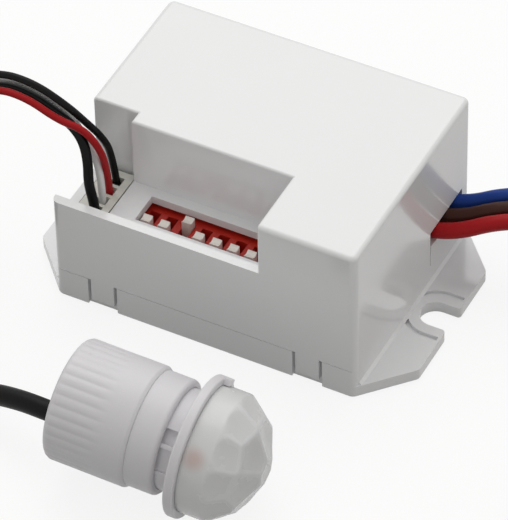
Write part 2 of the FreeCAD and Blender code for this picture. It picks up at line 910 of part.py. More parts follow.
# Wires from the plug, to the sleeve where the cable's jacket starts
wire_foot = plug_top - contact_top_below_plug + 0.15
first_wire_y = socket_centre_y - 1.5 * plug_pitch
sleeve_start = Vector(-14.7, 5.05, 27.0)
sleeve_heading = Vector(-0.862, 0.02, -0.507).normalize()
plug_wires = {
    "wire_black_thick": (thick_wire_diameter, [
        (4.5, first_wire_y, wire_foot), (4.4, 3.6, 15.2), (3.65, 3.65, 18.4), (3.5, 4.1, 21.7),
        (2.55, 4.95, 24.1), (1.2, 5.25, 25.8), (-0.7, 5.15, 27.4), (-5.25, 5.05, 29.6), (-9.6, 4.9, 29.6)]),
    "wire_white": (wire_diameter, [
        (4.5, first_wire_y + plug_pitch, wire_foot), (4.5, 5.6, 17.2), (3.5, 6.3, 20.3), (2.25, 6.65, 22.9),
        (0.9, 6.35, 25.2), (-0.85, 6.9, 27.15), (-5.4, 6.75, 29.35), (-9.9, 6.65, 29.4)]),
    "wire_red": (wire_diameter, [
        (4.5, first_wire_y + 2 * plug_pitch, wire_foot), (4.75, 6.7, 19.45), (4.25, 5.5, 23.9),
        (2.5, 4.9, 26.6), (-0.4, 3.85, 27.85), (-5.05, 3.7, 30.1), (-9.6, 3.5, 30.1)]),
    "wire_black": (wire_diameter, [
        (4.5, first_wire_y + 3 * plug_pitch, wire_foot), (3.95, 9.55, 19.1), (3.55, 7.75, 23.4),
        (1.8, 7.1, 25.6), (0.15, 5.45, 29.2), (-4.75, 5.25, 31.55), (-10.0, 4.85, 31.7)]),
}


def end_on_sleeve(points):
    last = Vector(*points[-1])
    reach = (sleeve_start - last).dot(sleeve_heading)
    return points + [tuple(last + sleeve_heading * reach)]


# The cable's stretch from the sleeve, around and down to the coil's upper layer
coil_low_z = cable_diameter / 2 + tie_thickness + tie_clearance
coil_high_z = coil_low_z + coil_pitch
sleeve_end = sleeve_start + sleeve_heading * sleeve_length
coil_front_y = coil_back_y - 2 * coil_outer_radius
cable_from_plug_points = [
    tuple(sleeve_end), tuple(sleeve_end + sleeve_heading * 5.2), (-30.15, 2.94, 17.9), (-36.87, 1.3, 15.2),
    (-42.06, -3.42, 12.6), (-44.37, -9.89, 10.3), (-43.8, -17.09, 8.3), (-40.39, -23.43, 6.7),
    (-34.94, -28.17, 5.6), (coil_x - cable_diameter, coil_front_y, coil_high_z),
]


# Coil: half turns that spiral in on the upper layer and back out on the lower one. The
# stretch from the sleeve takes the place of the first one.

def coil_radii():
    middle = coil_half_turns // 2
    return [coil_outer_radius - (middle - abs(middle - turn)) * coil_pitch / 2
            for turn in range(1, coil_half_turns)]


def touching_arc(start, tangent, end):
    chord = end - start
    lean = tangent.getAngle(chord)
    across = (tangent - chord * (tangent.dot(chord) / chord.Length ** 2)).normalize()
    middle = start + chord * 0.5 + across * (chord.Length / 2 * math.tan(lean / 2))
    return Part.Arc(start, middle, end).toShape()


def coil_path():
    ahead = Vector(1, 0, 0)
    here = Vector(coil_x, coil_front_y, coil_high_z)
    edges = [Part.LineSegment(here - ahead * cable_diameter, here).toShape()]
    side = 1
    for turn, radius in enumerate(coil_radii(), 1):
        there = here + Vector(0, side * 2 * radius, 0)
        if turn == coil_half_turns // 2:
            there.z = coil_low_z
        reach = (there - here).Length / 2
        joint = (here + there) * 0.5 + ahead * reach
        edges.append(touching_arc(here, ahead, joint))
        heading = there - here
        edges.append(touching_arc(joint, heading.normalize(), there))
        here = there
        ahead = ahead * -1
        side = -side
    edges.append(Part.LineSegment(here, here + ahead * cable_diameter).toShape())
    return Part.Wire(edges)


def least_self_gap(path, diameter):
    places = []
    travelled = 0.0
    for edge in path.Edges:
        count = max(2, int(edge.Length / 0.8))
        for index in range(count):
            position = edge.getParameterByLength(edge.Length * index / count)
            places.append((travelled + edge.Length * index / count, edge.valueAt(position)))
        travelled += edge.Length
    least = 1000.0
    for index, (distance, place) in enumerate(places):
        for other_distance, other in places[index + 1:]:
            if other_distance - distance > 6 * diameter:
                least = min(least, place.distanceToPoint(other))
    return least - diameter


def make_coil():
    path = coil_path()
    solid = sweep(path, cable_diameter)
    report_tube("cable_coil", solid, path, cable_diameter, coil_radii())
    print("cable_coil least gap to itself", round(least_self_gap(path, cable_diameter), 3))
    save("cable_coil", solid)
    radii = coil_radii()
    reach = cable_diameter / 2 + tie_side_clearance
    middle_y = coil_back_y - coil_outer_radius
    inner = coil_x + radii[2] - reach
    outer = coil_x + radii[0] + reach
    top = coil_high_z + cable_diameter / 2 + tie_clearance
    save("coil_tie", band(inner, outer, middle_y - tie_width / 2, middle_y + tie_width / 2, top, "y"))


# Sensor head. It lies on its flange's rim, and its stiff cable holds its rear end up.
nut_front = flange_thickness / 2 + clamp_gap + collar_length + nut_gap
nut_rear = nut_front + nut_length


def head_height():
    pitch = math.radians(abs(head_pitch))
    rim = flange_radius - flange_edge_radius
    front = flange_thickness / 2 - flange_edge_radius
    return rim * math.cos(pitch) + front * math.sin(pitch) + flange_edge_radius


head_rotation = Rotation(Vector(0, 0, 1), head_yaw).multiply(Rotation(Vector(0, 1, 0), -head_pitch))
head_placement = Placement(Vector(head_x, head_y, head_height()), head_rotation)


def in_head(x, y, z):
    return tuple(head_placement.multVec(Vector(x, y, z)))


def save_in_head(node, shape):
    placed = shape.copy()
    placed.Placement = head_placement.multiply(placed.Placement)
    save(node, placed)


def disc(x0, x1, radius):
    return Part.makeCylinder(radius, x1 - x0, Vector(x0, 0, 0), Vector(1, 0, 0))


def around(x0, width, height, depth, angle, radius):
    shape = block(x0, x0 + depth, -width / 2, width / 2, radius, radius + height)
    shape.rotate(Vector(0, 0, 0), Vector(1, 0, 0), angle)
    return shape


def rims_at(x):
    return lambda box: abs(box.XMin - x) < 0.01 and abs(box.XMax - x) < 0.01


def make_head_body():
    half = flange_thickness / 2
    flange = disc(-half, half, flange_radius)
    flange = round_edges(flange, flange_edge_radius, lambda box: box.XLength < 0.01)
    neck = disc(-neck_end, 0, neck_radius)
    spigot_radius = lens_radius - lens_wall - lens_fit
    spigot = disc(0, half + spigot_height, spigot_radius)
    seat = lens_radius + lens_fit
    bump = around(half - 0.1, bump_width, flange_radius - seat, bump_depth, 0, seat)
    bump = round_edges(bump, 0.2, lambda box: box.XMin > half + 0.5)
    bump.rotate(Vector(0, 0, 0), Vector(1, 0, 0), bump_angle)
    hollow = disc(-neck_end - 1, half + 0.01, neck_bore_radius)
    room = disc(half, half + spigot_height + 1, spigot_radius - spigot_thickness)
    keyway = around(-neck_end - 1, keyway_width, keyway_depth + 1, neck_end + 1 - half, keyway_angle,
                    neck_radius - keyway_depth)
    relief = around(-neck_end - 1, relief_width, relief_depth + 1, neck_end + 1 - half, relief_angle,
                    neck_radius - relief_depth)
    body = join([flange, neck, spigot, bump]).cut([hollow, room, keyway, relief])
    save_in_head("head_body", body)


def facet_cut(tilt, angle, distance):
    cutter = block(distance, distance + 4, -12, 12, -12, 12)
    cutter.rotate(Vector(0, 0, 0), Vector(0, 1, 0), -tilt)
    cutter.rotate(Vector(0, 0, 0), Vector(1, 0, 0), angle)
    cutter.translate(Vector(lens_sphere_centre, 0, 0))
    return cutter


def make_lens():
    half = flange_thickness / 2
    low = half + 0.02
    centre = Vector(lens_sphere_centre, 0, 0)
    dome = Part.makeSphere(lens_sphere_radius, centre, Vector(1, 0, 0)).common(disc(low, 20, lens_radius))
    cutters = [facet_cut(0, 0, lens_front_distance)]
    rings = ((lens_inner_count, lens_inner_tilt, lens_inner_start, lens_inner_distance),
             (lens_outer_count, lens_outer_tilt, lens_outer_start, lens_outer_distance))
    for count, tilt, start, distance in rings:
        for step in range(count):
            cutters.append(facet_cut(tilt, start + step * 360 / count, distance))
    dome = dome.cut(cutters)
    inner_sphere = Part.makeSphere(lens_inner_distance - lens_dome_wall, centre, Vector(1, 0, 0))
    inside = inner_sphere.common(disc(low - 1, 20, lens_radius - lens_wall))
    save_in_head("lens_dome", dome.cut(inside))


def make_clamp():
    front = flange_thickness / 2 + clamp_gap
    bore = neck_radius + clamp_running
    collar = disc(-front - collar_length, -front, collar_radius)
    collar = round_edges(collar, collar_edge_radius, rims_at(-front))
    key_reach = neck_radius - keyway_depth + key_clearance
    key = around(-front - collar_length, keyway_width - 2 * key_clearance, bore + 0.3 - key_reach,
                 collar_length - collar_edge_radius, keyway_angle, key_reach)
    collar = join([collar.cut(disc(-30, 0, bore)), key])
    save_in_head("clamp_collar", collar)

    valley = nut_radius - nut_rib_depth
    step = 2 * math.pi / nut_rib_count
    edges = []
    for rib in range(nut_rib_count):
        places = []
        for share, radius in ((0, valley), (0.5, nut_radius), (1, valley)):
            angle = (rib + share) * step
            places.append(Vector(-nut_rear, radius * math.cos(angle), radius * math.sin(angle)))
        edges.append(Part.Arc(*places).toShape())
    ribbed = Part.Face(Part.Wire(edges)).extrude(Vector(nut_length, 0, 0))
    envelope = disc(-nut_rear, -nut_front, nut_radius)
    envelope = round_edges(envelope, nut_edge_radius, rims_at(-nut_rear))
    envelope = round_edges(envelope, nut_shoulder_radius, rims_at(-nut_front))
    save_in_head("clamp_nut", ribbed.common(envelope).cut(disc(-30, 0, bore)))


def make_sensing_parts():
    rear = flange_thickness / 2
    spigot_inner = lens_radius - lens_wall - lens_fit - spigot_thickness
    front = rear + head_board_thickness
    holes = []
    pins = []
    for angle in (0, 90, 180):
        turned = math.radians(angle + 45)
        place = Vector(front - 2.9, can_pin_circle * math.cos(turned), can_pin_circle * math.sin(turned))
        pins.append(Part.makeCylinder(can_pin_radius, 2.9, place, Vector(1, 0, 0)))
        holes.append(Part.makeCylinder(can_pin_radius + solder_hole_clearance, 9, place - Vector(2, 0, 0),
                                       Vector(1, 0, 0)))
    save_in_head("head_board", disc(rear, front, spigot_inner - head_board_play).cut(holes))
    save_in_head("element_pins", Part.makeCompound(pins))

    can = join([disc(front, front + can_base_height, can_base_radius),
                disc(front, front + can_height, can_radius)])
    can = round_edges(can, 0.4, rims_at(front + can_height))
    half_width = can_window_width / 2
    half_height = can_window_height / 2
    seat_low = front + can_height - can_window_thickness
    seat = block(seat_low, front + can_height + 1, -half_width, half_width, -half_height, half_height)
    save_in_head("motion_element", can.cut(seat))
    gap = 0.03
    window = block(seat_low, front + can_height - 0.05, -half_width + gap, half_width - gap,
                   -half_height + gap, half_height - gap)
    save_in_head("element_window", window)

    tall, wide, thick = chip_light_size
    for node, angle in (("indicator_led", indicator_angle), ("daylight_sensor", daylight_angle)):
        chip = around(front, tall, wide, thick, angle, small_parts_radius - wide / 2)
        save_in_head(node, chip)


def make_head_cabling():
    rear = -neck_end
    grommet = disc(rear, rear + grommet_length, neck_bore_radius - grommet_play)
    save_in_head("cable_grommet", grommet)
    wires = []
    spread = head_wire_spread / 2
    for side, rise in ((-1, -1), (-1, 1), (1, -1), (1, 1)):
        y = side * spread
        z = rise * spread - cable_drop_in_neck
        points = [(rear + grommet_length, y, z), (-8.0, y, z),
                  (-4.0, y * 1.6, z * 0.8), (0.65, y * 1.6, z * 0.8)]
        path, radii = rounded_path([Vector(*point) for point in points])
        wires.append(sweep(path, head_wire_diameter))
    save_in_head("head_wires", Part.makeCompound(wires))


# The cable's stretch from the coil's lower layer to the sensor head
cable_to_head_points = [
    (coil_x + cable_diameter, coil_front_y, coil_low_z), (-15.4, coil_front_y, coil_low_z),
    (-8.0, -28.0, 1.9), (-2.4, -25.2, 2.9), (3.4, -23.8, 4.8), (8.5, -24.6, 6.6),
    in_head(-neck_end - 6.2, 0, -cable_drop_in_neck), in_head(-neck_end, 0, -cable_drop_in_neck),
]


def make_cable():
    for node, (diameter, points) in plug_wires.items():
        cord(node, end_on_sleeve(points), diameter)
    sleeve = Part.makeCone(sleeve_start_diameter / 2, sleeve_end_diameter / 2, sleeve_length,
                           sleeve_start, sleeve_heading)
    save("cable_sleeve", sleeve)
    cord("cable_from_plug", cable_from_plug_points, cable_diameter)
    make_coil()
    cord("cable_to_head", cable_to_head_points, cable_diameter)


make_base_tray()
make_top_cover()
make_main_board()
make_switch()
make_socket_and_plug()
make_relay()
make_film_capacitor()
make_can_capacitors()
make_bridge_rectifier()
make_fuse_resistor()
make_surge_disc()
make_choke()
make_regulator()
make_control_chip()
make_leads()
make_cable()
make_head_body()
make_lens()
make_clamp()
make_sensing_parts()
make_head_cabling()
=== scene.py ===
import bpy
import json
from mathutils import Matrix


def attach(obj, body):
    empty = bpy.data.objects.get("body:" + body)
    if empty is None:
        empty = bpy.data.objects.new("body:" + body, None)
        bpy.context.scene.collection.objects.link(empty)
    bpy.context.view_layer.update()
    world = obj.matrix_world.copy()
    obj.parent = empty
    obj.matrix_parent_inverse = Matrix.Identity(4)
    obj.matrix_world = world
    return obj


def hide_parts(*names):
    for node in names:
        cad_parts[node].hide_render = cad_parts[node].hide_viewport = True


bl_info = {
    "name": "Two-part motion sensor",
    "version": (1, 0, 0),
    "blender": (4, 5, 0),
    "location": "3D View > Sidebar > Sensor",
    "description": "Dresses the motion sensor's control box, sensor head, leads and cable",
    "category": "Object",
}

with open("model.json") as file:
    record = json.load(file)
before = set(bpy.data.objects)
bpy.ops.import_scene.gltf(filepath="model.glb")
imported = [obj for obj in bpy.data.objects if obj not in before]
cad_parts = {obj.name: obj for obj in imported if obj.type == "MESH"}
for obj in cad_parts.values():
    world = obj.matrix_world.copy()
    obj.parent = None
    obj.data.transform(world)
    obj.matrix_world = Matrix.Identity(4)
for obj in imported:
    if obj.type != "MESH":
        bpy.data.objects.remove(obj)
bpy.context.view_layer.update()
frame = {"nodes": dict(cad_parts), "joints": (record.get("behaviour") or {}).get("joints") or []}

import functools
import json
import math

import bpy
from bpy.props import FloatProperty, FloatVectorProperty, IntProperty, PointerProperty
from mathutils import Matrix, Vector

# The control box, in millimetres. Its front left bottom corner is where the routes
# and places below are measured from.
BOX_LENGTH = 44.2
BOX_DEPTH = 33.8
MM = 0.001

# Cords and strands, in millimetres
CABLE_DIAMETER = 2.8
LEAD_DIAMETER = 2.2
THICK_WIRE_DIAMETER = 1.35
WIRE_DIAMETER = 1.0
END_STRAND_DIAMETER = 0.37
END_LENGTH = 5.0
# Degrees that the strands turn over each sixth of their length
END_TWIST = 25
# The wires inside the head run side by side to their bend, fan out by the first share and
# come nearer to its axis by the second
HEAD_WIRE_DIAMETER = 0.7
HEAD_WIRE_SPREAD = 0.4
HEAD_WIRE_BEND = -8.0
HEAD_WIRE_FAN = 1.6
HEAD_WIRE_RISE = 0.8

# Sensor head, in millimetres along its own axis from the middle of the flange
FLANGE_HALF = 0.65
NECK_END = 14.4
GROMMET_LENGTH = 3.0
CABLE_DROP = 4.0
NUT_FRONT = 6.87
NUT_LENGTH = 11.28
NUT_BORE = 6.86
NUT_SHOULDER = 0.55
NUT_SHOULDER_DROP = 0.33
NUT_REAR_EDGE = 0.9
RIBS_FULL = 4.6
RIBS_FADING = 2.6
POINTS_PER_RIB = 10
LENS_CENTRE = 0.7
LENS_SEAT_GAP = 0.02
LENS_DOME_INSIDE = 8.0
# Where the indicator light's glow is painted on the lens, in the head's own axes
LED_SEEN_AT = (2.1, -6.5, 5.3)

# The lens's facets: how many are in a ring, how far the ring leans from the axis, the
# first one's turn, both in degrees, and how far out they lie from the dome's centre
FACET_RINGS = ((1, 0.0, 0.0, 8.75), (6, 27.0, 22.0, 8.5), (11, 53.5, 5.5, 8.87))
# A facet is sunk in over this change of the cosine from its middle
FACET_SPREAD = 0.035
# Facets that face further away than this cosine don't reach a place on the dome
FACET_SIGHT = 0.5
# How far the painted highlight along each ridge reaches
RIDGE_HIGHLIGHT_WIDTH = 0.17 * MM
LENS_POINTS_AROUND = 320
LENS_OUTER_RINGS = 110
LENS_INNER_RINGS = 20
# The share of the way from the lens's tip at which its first ring lies
TIP_SHARE = 0.002

# The camera of the photograph, and the lamps, in metres
CAMERA_LENS = 338.95
CAMERA_PLACE = (0.2182, -0.4084, 0.4576)
CAMERA_RIGHT = (0.8886, 0.4584, -0.0174)
CAMERA_FORWARD = (-0.3372, 0.6270, -0.7022)
OVERHEAD_LAMP_SIZE = 0.55
OVERHEAD_LAMP_PLACE = (-0.14, 0.24, 0.55)
SIDE_LAMP_SIZE = 0.3
SIDE_LAMP_PLACE = (0.5, 0.06, 0.22)
FLOOR_REACH = 4.0

# The bodies of the inner parts, in millimetres in the frame: an axis, a body's middle
# along it and half of its size. What is beyond it is bare metal: legs, ends, a can's top.
# The ferrite's waist is where its winding is
X, Y, Z = 0, 1, 2
BODY_SPANS = {
    "can_main": (Z, 12.5, 5.97), "can_output": (Z, 12.0, 5.47), "bridge": (Z, 8.25, 1.55),
    "regulator": (Z, 10.5, 2.3), "chip": (Y, 2.05, 1.96), "resistor": (X, 12.8, 3.5),
    "disc": (Z, 14.0, 7.1), "ferrite": (Z, 14.5, 8.0), "ferrite_waist": (Z, 10.5, 3.0),
}
# The cans have a pale stripe past these places along X. Its mask is open over the length
# below them, which is longer than a can is wide
CAN_STRIPES = {"can_main": 17.6, "can_output": 6.85}
CAN_STRIPE_HALF = 17.7
# The resistor's bands, by their places along X, and its axis in Y and Z. Each fades between
# two distances from its middle
BANDS = ((11.0, "6B3A1E"), (12.6, "161616"), (14.2, "161616"))
BAND_AXIS = (3.7, 7.8)
BAND_EDGE = (1.25, 1.35)


def linear(code):
    """Turns an sRGB hex colour into linear values."""
    values = [int(code[start:start + 2], 16) / 255 for start in (0, 2, 4)]
    return tuple(v / 12.92 if v <= 0.04045 else ((v + 0.055) / 1.055) ** 2.4 for v in values)


TIN = linear("C9C8C2")


def colour_property(label, text, code):
    """A colour that a user can change, from its sRGB hex value."""
    return FloatVectorProperty(name=label, description=text, default=linear(code),
                               subtype="COLOR", size=3, min=0, max=1)


class SensorColours(bpy.types.PropertyGroup):
    """Colours of the mouldings, insulation and board."""
    housing: colour_property("Housing", "ABS of the control box", "E8E8EA")
    head: colour_property("Head", "Polypropylene of the head, collar and nut", "DAD8DC")
    lens: colour_property("Lens", "Milky polyethylene of the lens", "D8D8D9")
    switch: colour_property("Switch", "PBT body of the option switch", "B92619")
    levers: colour_property("Levers", "PBT levers of the option switch", "E8E0DA")
    connector: colour_property("Connector", "Nylon of the plug and socket", "E2E2DA")
    black: colour_property("Black", "Black PVC of the wires and cable", "060606")
    white: colour_property("White", "White PVC of the plug wire", "E4E2E2")
    red: colour_property("Red", "Red PVC of the plug wire and lead", "A3141A")
    brown: colour_property("Brown", "Brown PVC of the mains lead", "3E221C")
    blue: colour_property("Blue", "Blue PVC of the mains lead", "1B3A86")
    board: colour_property("Board", "Solder mask of the boards", "1F5A34")


class SensorSizes(bpy.types.PropertyGroup):
    """Sizes of what is modelled here and not in the frame."""
    lens_radius: FloatProperty(name="Lens skirt", description="Radius of the lens at its skirt",
                               default=8.55 * MM, unit="LENGTH", min=0)
    lens_sphere: FloatProperty(name="Lens dome", description="Radius of the lens before its facets",
                               default=9.2 * MM, unit="LENGTH", min=0)
    lens_wall: FloatProperty(name="Lens wall", description="Thickness of the lens",
                             default=0.9 * MM, unit="LENGTH", min=0)
    ridge: FloatProperty(name="Facet ridge", description="Rounding of the ridges between facets",
                         default=0.05 * MM, unit="LENGTH", min=0)
    dish: FloatProperty(name="Facet dish", description="How far each facet's middle is sunk in",
                        default=0.12 * MM, unit="LENGTH", min=0)
    nut_radius: FloatProperty(name="Nut", description="Radius of the clamp nut over its ribs",
                              default=8.15 * MM, unit="LENGTH", min=0)
    rib_depth: FloatProperty(name="Rib depth", description="Depth between the nut's ribs",
                             default=0.1 * MM, unit="LENGTH", min=0)
    rib_count: IntProperty(name="Ribs", description="Number of ribs around the nut",
                           default=36, min=8)


class SensorStage(bpy.types.PropertyGroup):
    """Lamps, world and floor."""
    sky_colour: colour_property("Sky colour", "Colour of the even light", "FFFFFA")
    sky: FloatProperty(name="Sky", description="Strength of the even light from all sides",
                       default=0.585, min=0)
    overhead: FloatProperty(name="Overhead lamp", description="Power of the large lamp above",
                            default=1.5, unit="POWER", min=0)
    side: FloatProperty(name="Side lamp", description="Power of the lamp on the right",
                        default=0.13, unit="POWER", min=0)
    floor: colour_property("Floor", "Colour of the floor under the object", "989898")


# Places and routes

def at(x, y, z):
    """A point measured from the box's front left bottom corner, in metres in the frame."""
    return Vector((x - BOX_LENGTH / 2, y - BOX_DEPTH / 2, z)) * MM


def head_matrix():
    """The sensor head's place: X along its axis, from the middle of its flange."""
    joint = next(j for j in frame["joints"] if j["name"] == "nut_turn")
    axis = Vector(joint["axis"]).normalized()
    yaw = Matrix.Rotation(math.atan2(axis.y, axis.x), 4, "Z")
    pitch = Matrix.Rotation(-math.asin(axis.z), 4, "Y")
    return Matrix.Translation(joint["pos_m"]) @ yaw @ pitch


HEAD_PLACE = head_matrix()


def in_head(x, y, z):
    """A point measured along the sensor head's axis, in metres in the frame."""
    return HEAD_PLACE @ (Vector((x, y, z)) * MM)


# Mains leads, from inside the box over its sill, down to the floor and to the front. Their
# points are measured from where they leave the box, and their lengths are in metres
LEAD_EXIT = (BOX_LENGTH, 26.7, 0)
LEADS = {
    "brown": [
        (-7.4, -0.5, 9.35), (-1.6, -0.2, 9.5), (2.4, 0.7, 10.15), (6.4, 2.5, 11.8),
        (11.8, 4.3, 12.7), (17.4, 3.9, 11.7), (22.3, 1.0, 9.4), (25.5, -4.1, 6.7),
        (27.2, -10.1, 4.3), (28.4, -16.2, 2.4), (29.6, -22.4, 1.6), (31.17, -28.91, 1.6),
        (32.84, -35.81, 1.6), (34.49, -42.62, 1.6), (36.13, -49.42, 1.6)],
    "red": [
        (-7.4, -3.2, 9.35), (-1.5, -3.1, 9.5), (2.7, -2.2, 10.15), (7.2, 0.2, 11.8),
        (12.2, 1.9, 12.5), (17.0, 1.5, 11.4), (21.0, -1.4, 9.1), (23.3, -6.1, 6.5),
        (24.7, -11.3, 4.2), (26.0, -16.9, 2.4), (27.27, -22.96, 1.6), (28.79, -29.28, 1.6),
        (30.44, -36.09, 1.6), (32.08, -42.89, 1.6), (33.73, -49.69, 1.6)],
    "blue": [
        (-7.4, 2.2, 9.35), (-1.7, 2.7, 9.5), (2.1, 3.6, 10.15), (5.6, 4.8, 11.8),
        (11.3, 6.6, 12.9), (17.6, 6.4, 12.1), (23.4, 3.4, 9.8), (27.5, -2.2, 7.0),
        (29.5, -8.7, 4.4), (30.8, -15.4, 2.4), (31.93, -21.84, 1.6), (33.58, -28.64, 1.6),
        (35.22, -35.44, 1.6), (36.87, -42.25, 1.6), (38.51, -49.05, 1.6)],
}

# Plug wires, from their contacts to the sleeve where the cable's jacket starts. Their
# lengths are in metres
WIRE_FOOT = 13.15
SLEEVE_START = Vector((-14.7, 5.05, 27.0))
SLEEVE_HEADING = Vector((-0.862, 0.02, -0.507)).normalized()
SLEEVE_LENGTH = 6.0
PLUG_WIRES = {
    "thick_black": [
        (4.5, 3.6, WIRE_FOOT), (4.4, 3.6, 15.2), (3.65, 3.65, 18.4), (3.5, 4.1, 21.7),
        (2.55, 4.95, 24.1), (1.2, 5.25, 25.8), (-0.7, 5.15, 27.4), (-5.25, 5.05, 29.6),
        (-9.6, 4.9, 29.6)],
    "white": [
        (4.5, 5.6, WIRE_FOOT), (4.5, 5.6, 17.2), (3.5, 6.3, 20.3), (2.25, 6.65, 22.9),
        (0.9, 6.35, 25.2), (-0.85, 6.9, 27.15), (-5.4, 6.75, 29.35), (-9.9, 6.65, 29.4)],
    "red": [
        (4.5, 7.6, WIRE_FOOT), (4.75, 6.7, 19.45), (4.25, 5.5, 23.9), (2.5, 4.9, 26.6),
        (-0.4, 3.85, 27.85), (-5.05, 3.7, 30.1), (-9.6, 3.5, 30.1)],
    "black": [
        (4.5, 9.6, WIRE_FOOT), (3.95, 9.55, 19.1), (3.55, 7.75, 23.4), (1.8, 7.1, 25.6),
        (0.15, 5.45, 29.2), (-4.75, 5.25, 31.55), (-10.0, 4.85, 31.7)],
}
WIRE_NODES = {"thick_black": "wire_black_thick", "white": "wire_white", "red": "wire_red",
              "black": "wire_black"}

# The sleeve's shape: places along it with a radius, and across a groove with a depth
SLEEVE_RADIUS = 2.4
SLEEVE_TAPER = 0.1
SLEEVE_GROOVES = 4
FIRST_GROOVE = 1.2
GROOVE_SPACING = 1.1
SLEEVE_FACE = ((0.0, 1.9), (0.1, 2.2), (0.4, 2.38))
SLEEVE_END = ((5.6, 1.82), (5.85, 1.75), (SLEEVE_LENGTH, 1.5))
GROOVE_SHAPE = ((-0.3, 0), (-0.2, 0.05), (-0.12, 0.35), (0.12, 0.35), (0.2, 0.05), (0.3, 0))

# The cable: down from the sleeve, around its put-away coil and back to the head
COIL_X = -26.4
COIL_BACK_Y = 5.7
COIL_RADIUS = 17.8
COIL_FRONT_Y = COIL_BACK_Y - 2 * COIL_RADIUS
COIL_PITCH = 3.25
COIL_HALF_TURNS = 9
POINTS_PER_HALF_TURN = 6
# A spline reaches this share of its points' radius
COIL_SPLINE_SHARE = 0.9662
COIL_LOW = 1.9
COIL_HIGH = COIL_LOW + COIL_PITCH
STRAIGHT_AT_SLEEVE = 5.2
STRAIGHT_AT_HEAD = 6.2
CABLE_FROM_PLUG = [
    (-30.15, 2.94, 17.9), (-36.87, 1.3, 15.2), (-42.06, -3.42, 12.6), (-44.37, -9.89, 10.3),
    (-43.8, -17.09, 8.3), (-40.39, -23.43, 6.7), (-34.94, -28.17, 5.6)]
CABLE_TO_HEAD = [
    (-15.4, COIL_FRONT_Y, COIL_LOW), (-8.0, -28.0, 1.9), (-2.4, -25.2, 2.9), (3.4, -23.8, 4.8),
    (8.5, -24.6, 6.6)]


def sleeved(points):
    """The wire's points with its last one, on the sleeve's face."""
    last = Vector(points[-1])
    reach = (SLEEVE_START - last).dot(SLEEVE_HEADING)
    return [at(*p) for p in points] + [at(*(last + SLEEVE_HEADING * reach))]


def coil_points():
    """Twelve points a turn, spiralling in on the upper layer and out on the lower one."""
    middle = COIL_HALF_TURNS // 2
    here = Vector((COIL_X, COIL_FRONT_Y, COIL_HIGH))
    ahead = Vector((1, 0, 0))
    side = 1
    points = []
    for turn in range(1, COIL_HALF_TURNS):
        radius = COIL_RADIUS - (middle - abs(middle - turn)) * COIL_PITCH / 2
        there = here + Vector((0, side * 2 * radius, 0))
        if turn == middle:
            there.z = COIL_LOW
        centre = (here + there) / 2
        for step in range(POINTS_PER_HALF_TURN):
            angle = math.pi * (step + 0.5) / POINTS_PER_HALF_TURN
            flat = (here - centre) * math.cos(angle) + ahead * radius * math.sin(angle)
            points.append(at(*(centre + flat / COIL_SPLINE_SHARE)))
        here = there
        ahead = -ahead
        side = -side
    return points


def cable_points():
    """The cable's points from the sleeve's end, around the coil and into the head's neck."""
    sleeve_end = SLEEVE_START + SLEEVE_HEADING * SLEEVE_LENGTH
    points = [at(*sleeve_end), at(*(sleeve_end + SLEEVE_HEADING * STRAIGHT_AT_SLEEVE))]
    points += [at(*p) for p in CABLE_FROM_PLUG] + coil_points() + [at(*p) for p in CABLE_TO_HEAD]
    return points + [in_head(-NECK_END - STRAIGHT_AT_HEAD, 0, -CABLE_DROP),
                     in_head(-NECK_END, 0, -CABLE_DROP)]


# Shared making of meshes and curves

def new_object(name, data, material):
    """Adds an object with its data and material to the scene."""
    piece = bpy.data.objects.new(name, data)
    bpy.context.scene.collection.objects.link(piece)
    data.materials.append(material)
    return piece


def round_cord(name, routes, diameter, material):
    """A round cord along smooth splines through the routes' points."""
    curve = bpy.data.curves.new(name, "CURVE")
    curve.dimensions = "3D"
    curve.bevel_depth = diameter / 2
    curve.bevel_resolution = 6
    curve.resolution_u = 16
    curve.use_fill_caps = True
    for points in routes:
        spline = curve.splines.new("NURBS")
        spline.points.add(len(points) - 1)
        for control, point in zip(spline.points, points):
            control.co = (*point, 1)
        spline.order_u = 3
        spline.use_endpoint_u = True
    return new_object(name, curve, material)


def lofted(name, rings, material, closed=True):
    """A mesh through rings of equal count. Closed, its last ring joins its first."""
    count = len(rings[0])
    vertices = [point for ring in rings for point in ring]
    faces = []
    rows = len(rings) if closed else len(rings) - 1
    for row in range(rows):
        low = row * count
        high = (row + 1) % len(rings) * count
        for step in range(count):
            turn = (step + 1) % count
            faces.append((low + step, low + turn, high + turn, high + step))
    if not closed:
        faces.append(tuple(reversed(range(count))))
        faces.append(tuple(range(len(vertices) - count, len(vertices))))
    mesh = bpy.data.meshes.new(name)
    mesh.from_pydata(vertices, [], faces)
    mesh.update()
    mesh.shade_smooth()
    return new_object(name, mesh, material)


def turned(name, start, heading, profile, material):
    """A closed body of revolution through (along, radius) places, in millimetres."""
    count = 48
    turn = Vector((1, 0, 0)).rotation_difference(heading).to_matrix()
    rings = []
    for along, radius in profile:
        ring = []
        for step in range(count):
            angle = 2 * math.pi * step / count
            spoke = Vector((along, radius * math.cos(angle), radius * math.sin(angle)))
            ring.append(start + turn @ spoke * MM)
        rings.append(ring)
    return lofted(name, rings, material, closed=False)


def place(piece, body, slot, *nodes):
    """The piece rides on the body and stands for the nodes, which it hides. slot is not used."""
    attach(piece, body)
    if nodes:
        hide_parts(*nodes)


def dress(finish, *nodes):
    """Gives CAD nodes a finish."""
    for name in nodes:
        for slot in frame["nodes"][name].material_slots:
            slot.material = finishes()[finish]


# Materials

def add_node(tree, kind, values=None, links=None, **attributes):
    """Adds a node with its settings, socket values and links."""
    node = tree.nodes.new(kind)
    for name, value in attributes.items():
        setattr(node, name, value)
    for socket, value in (values or {}).items():
        node.inputs[socket].default_value = value
    for socket, source in (links or {}).items():
        tree.links.new(source, node.inputs[socket])
    return node


def opaque(colour):
    return (*colour[:3], 1)


def shaded(colour, share):
    """The colour made darker or lighter by a share."""
    return (*[min(1, max(0, value * share)) for value in colour[:3]], 1)


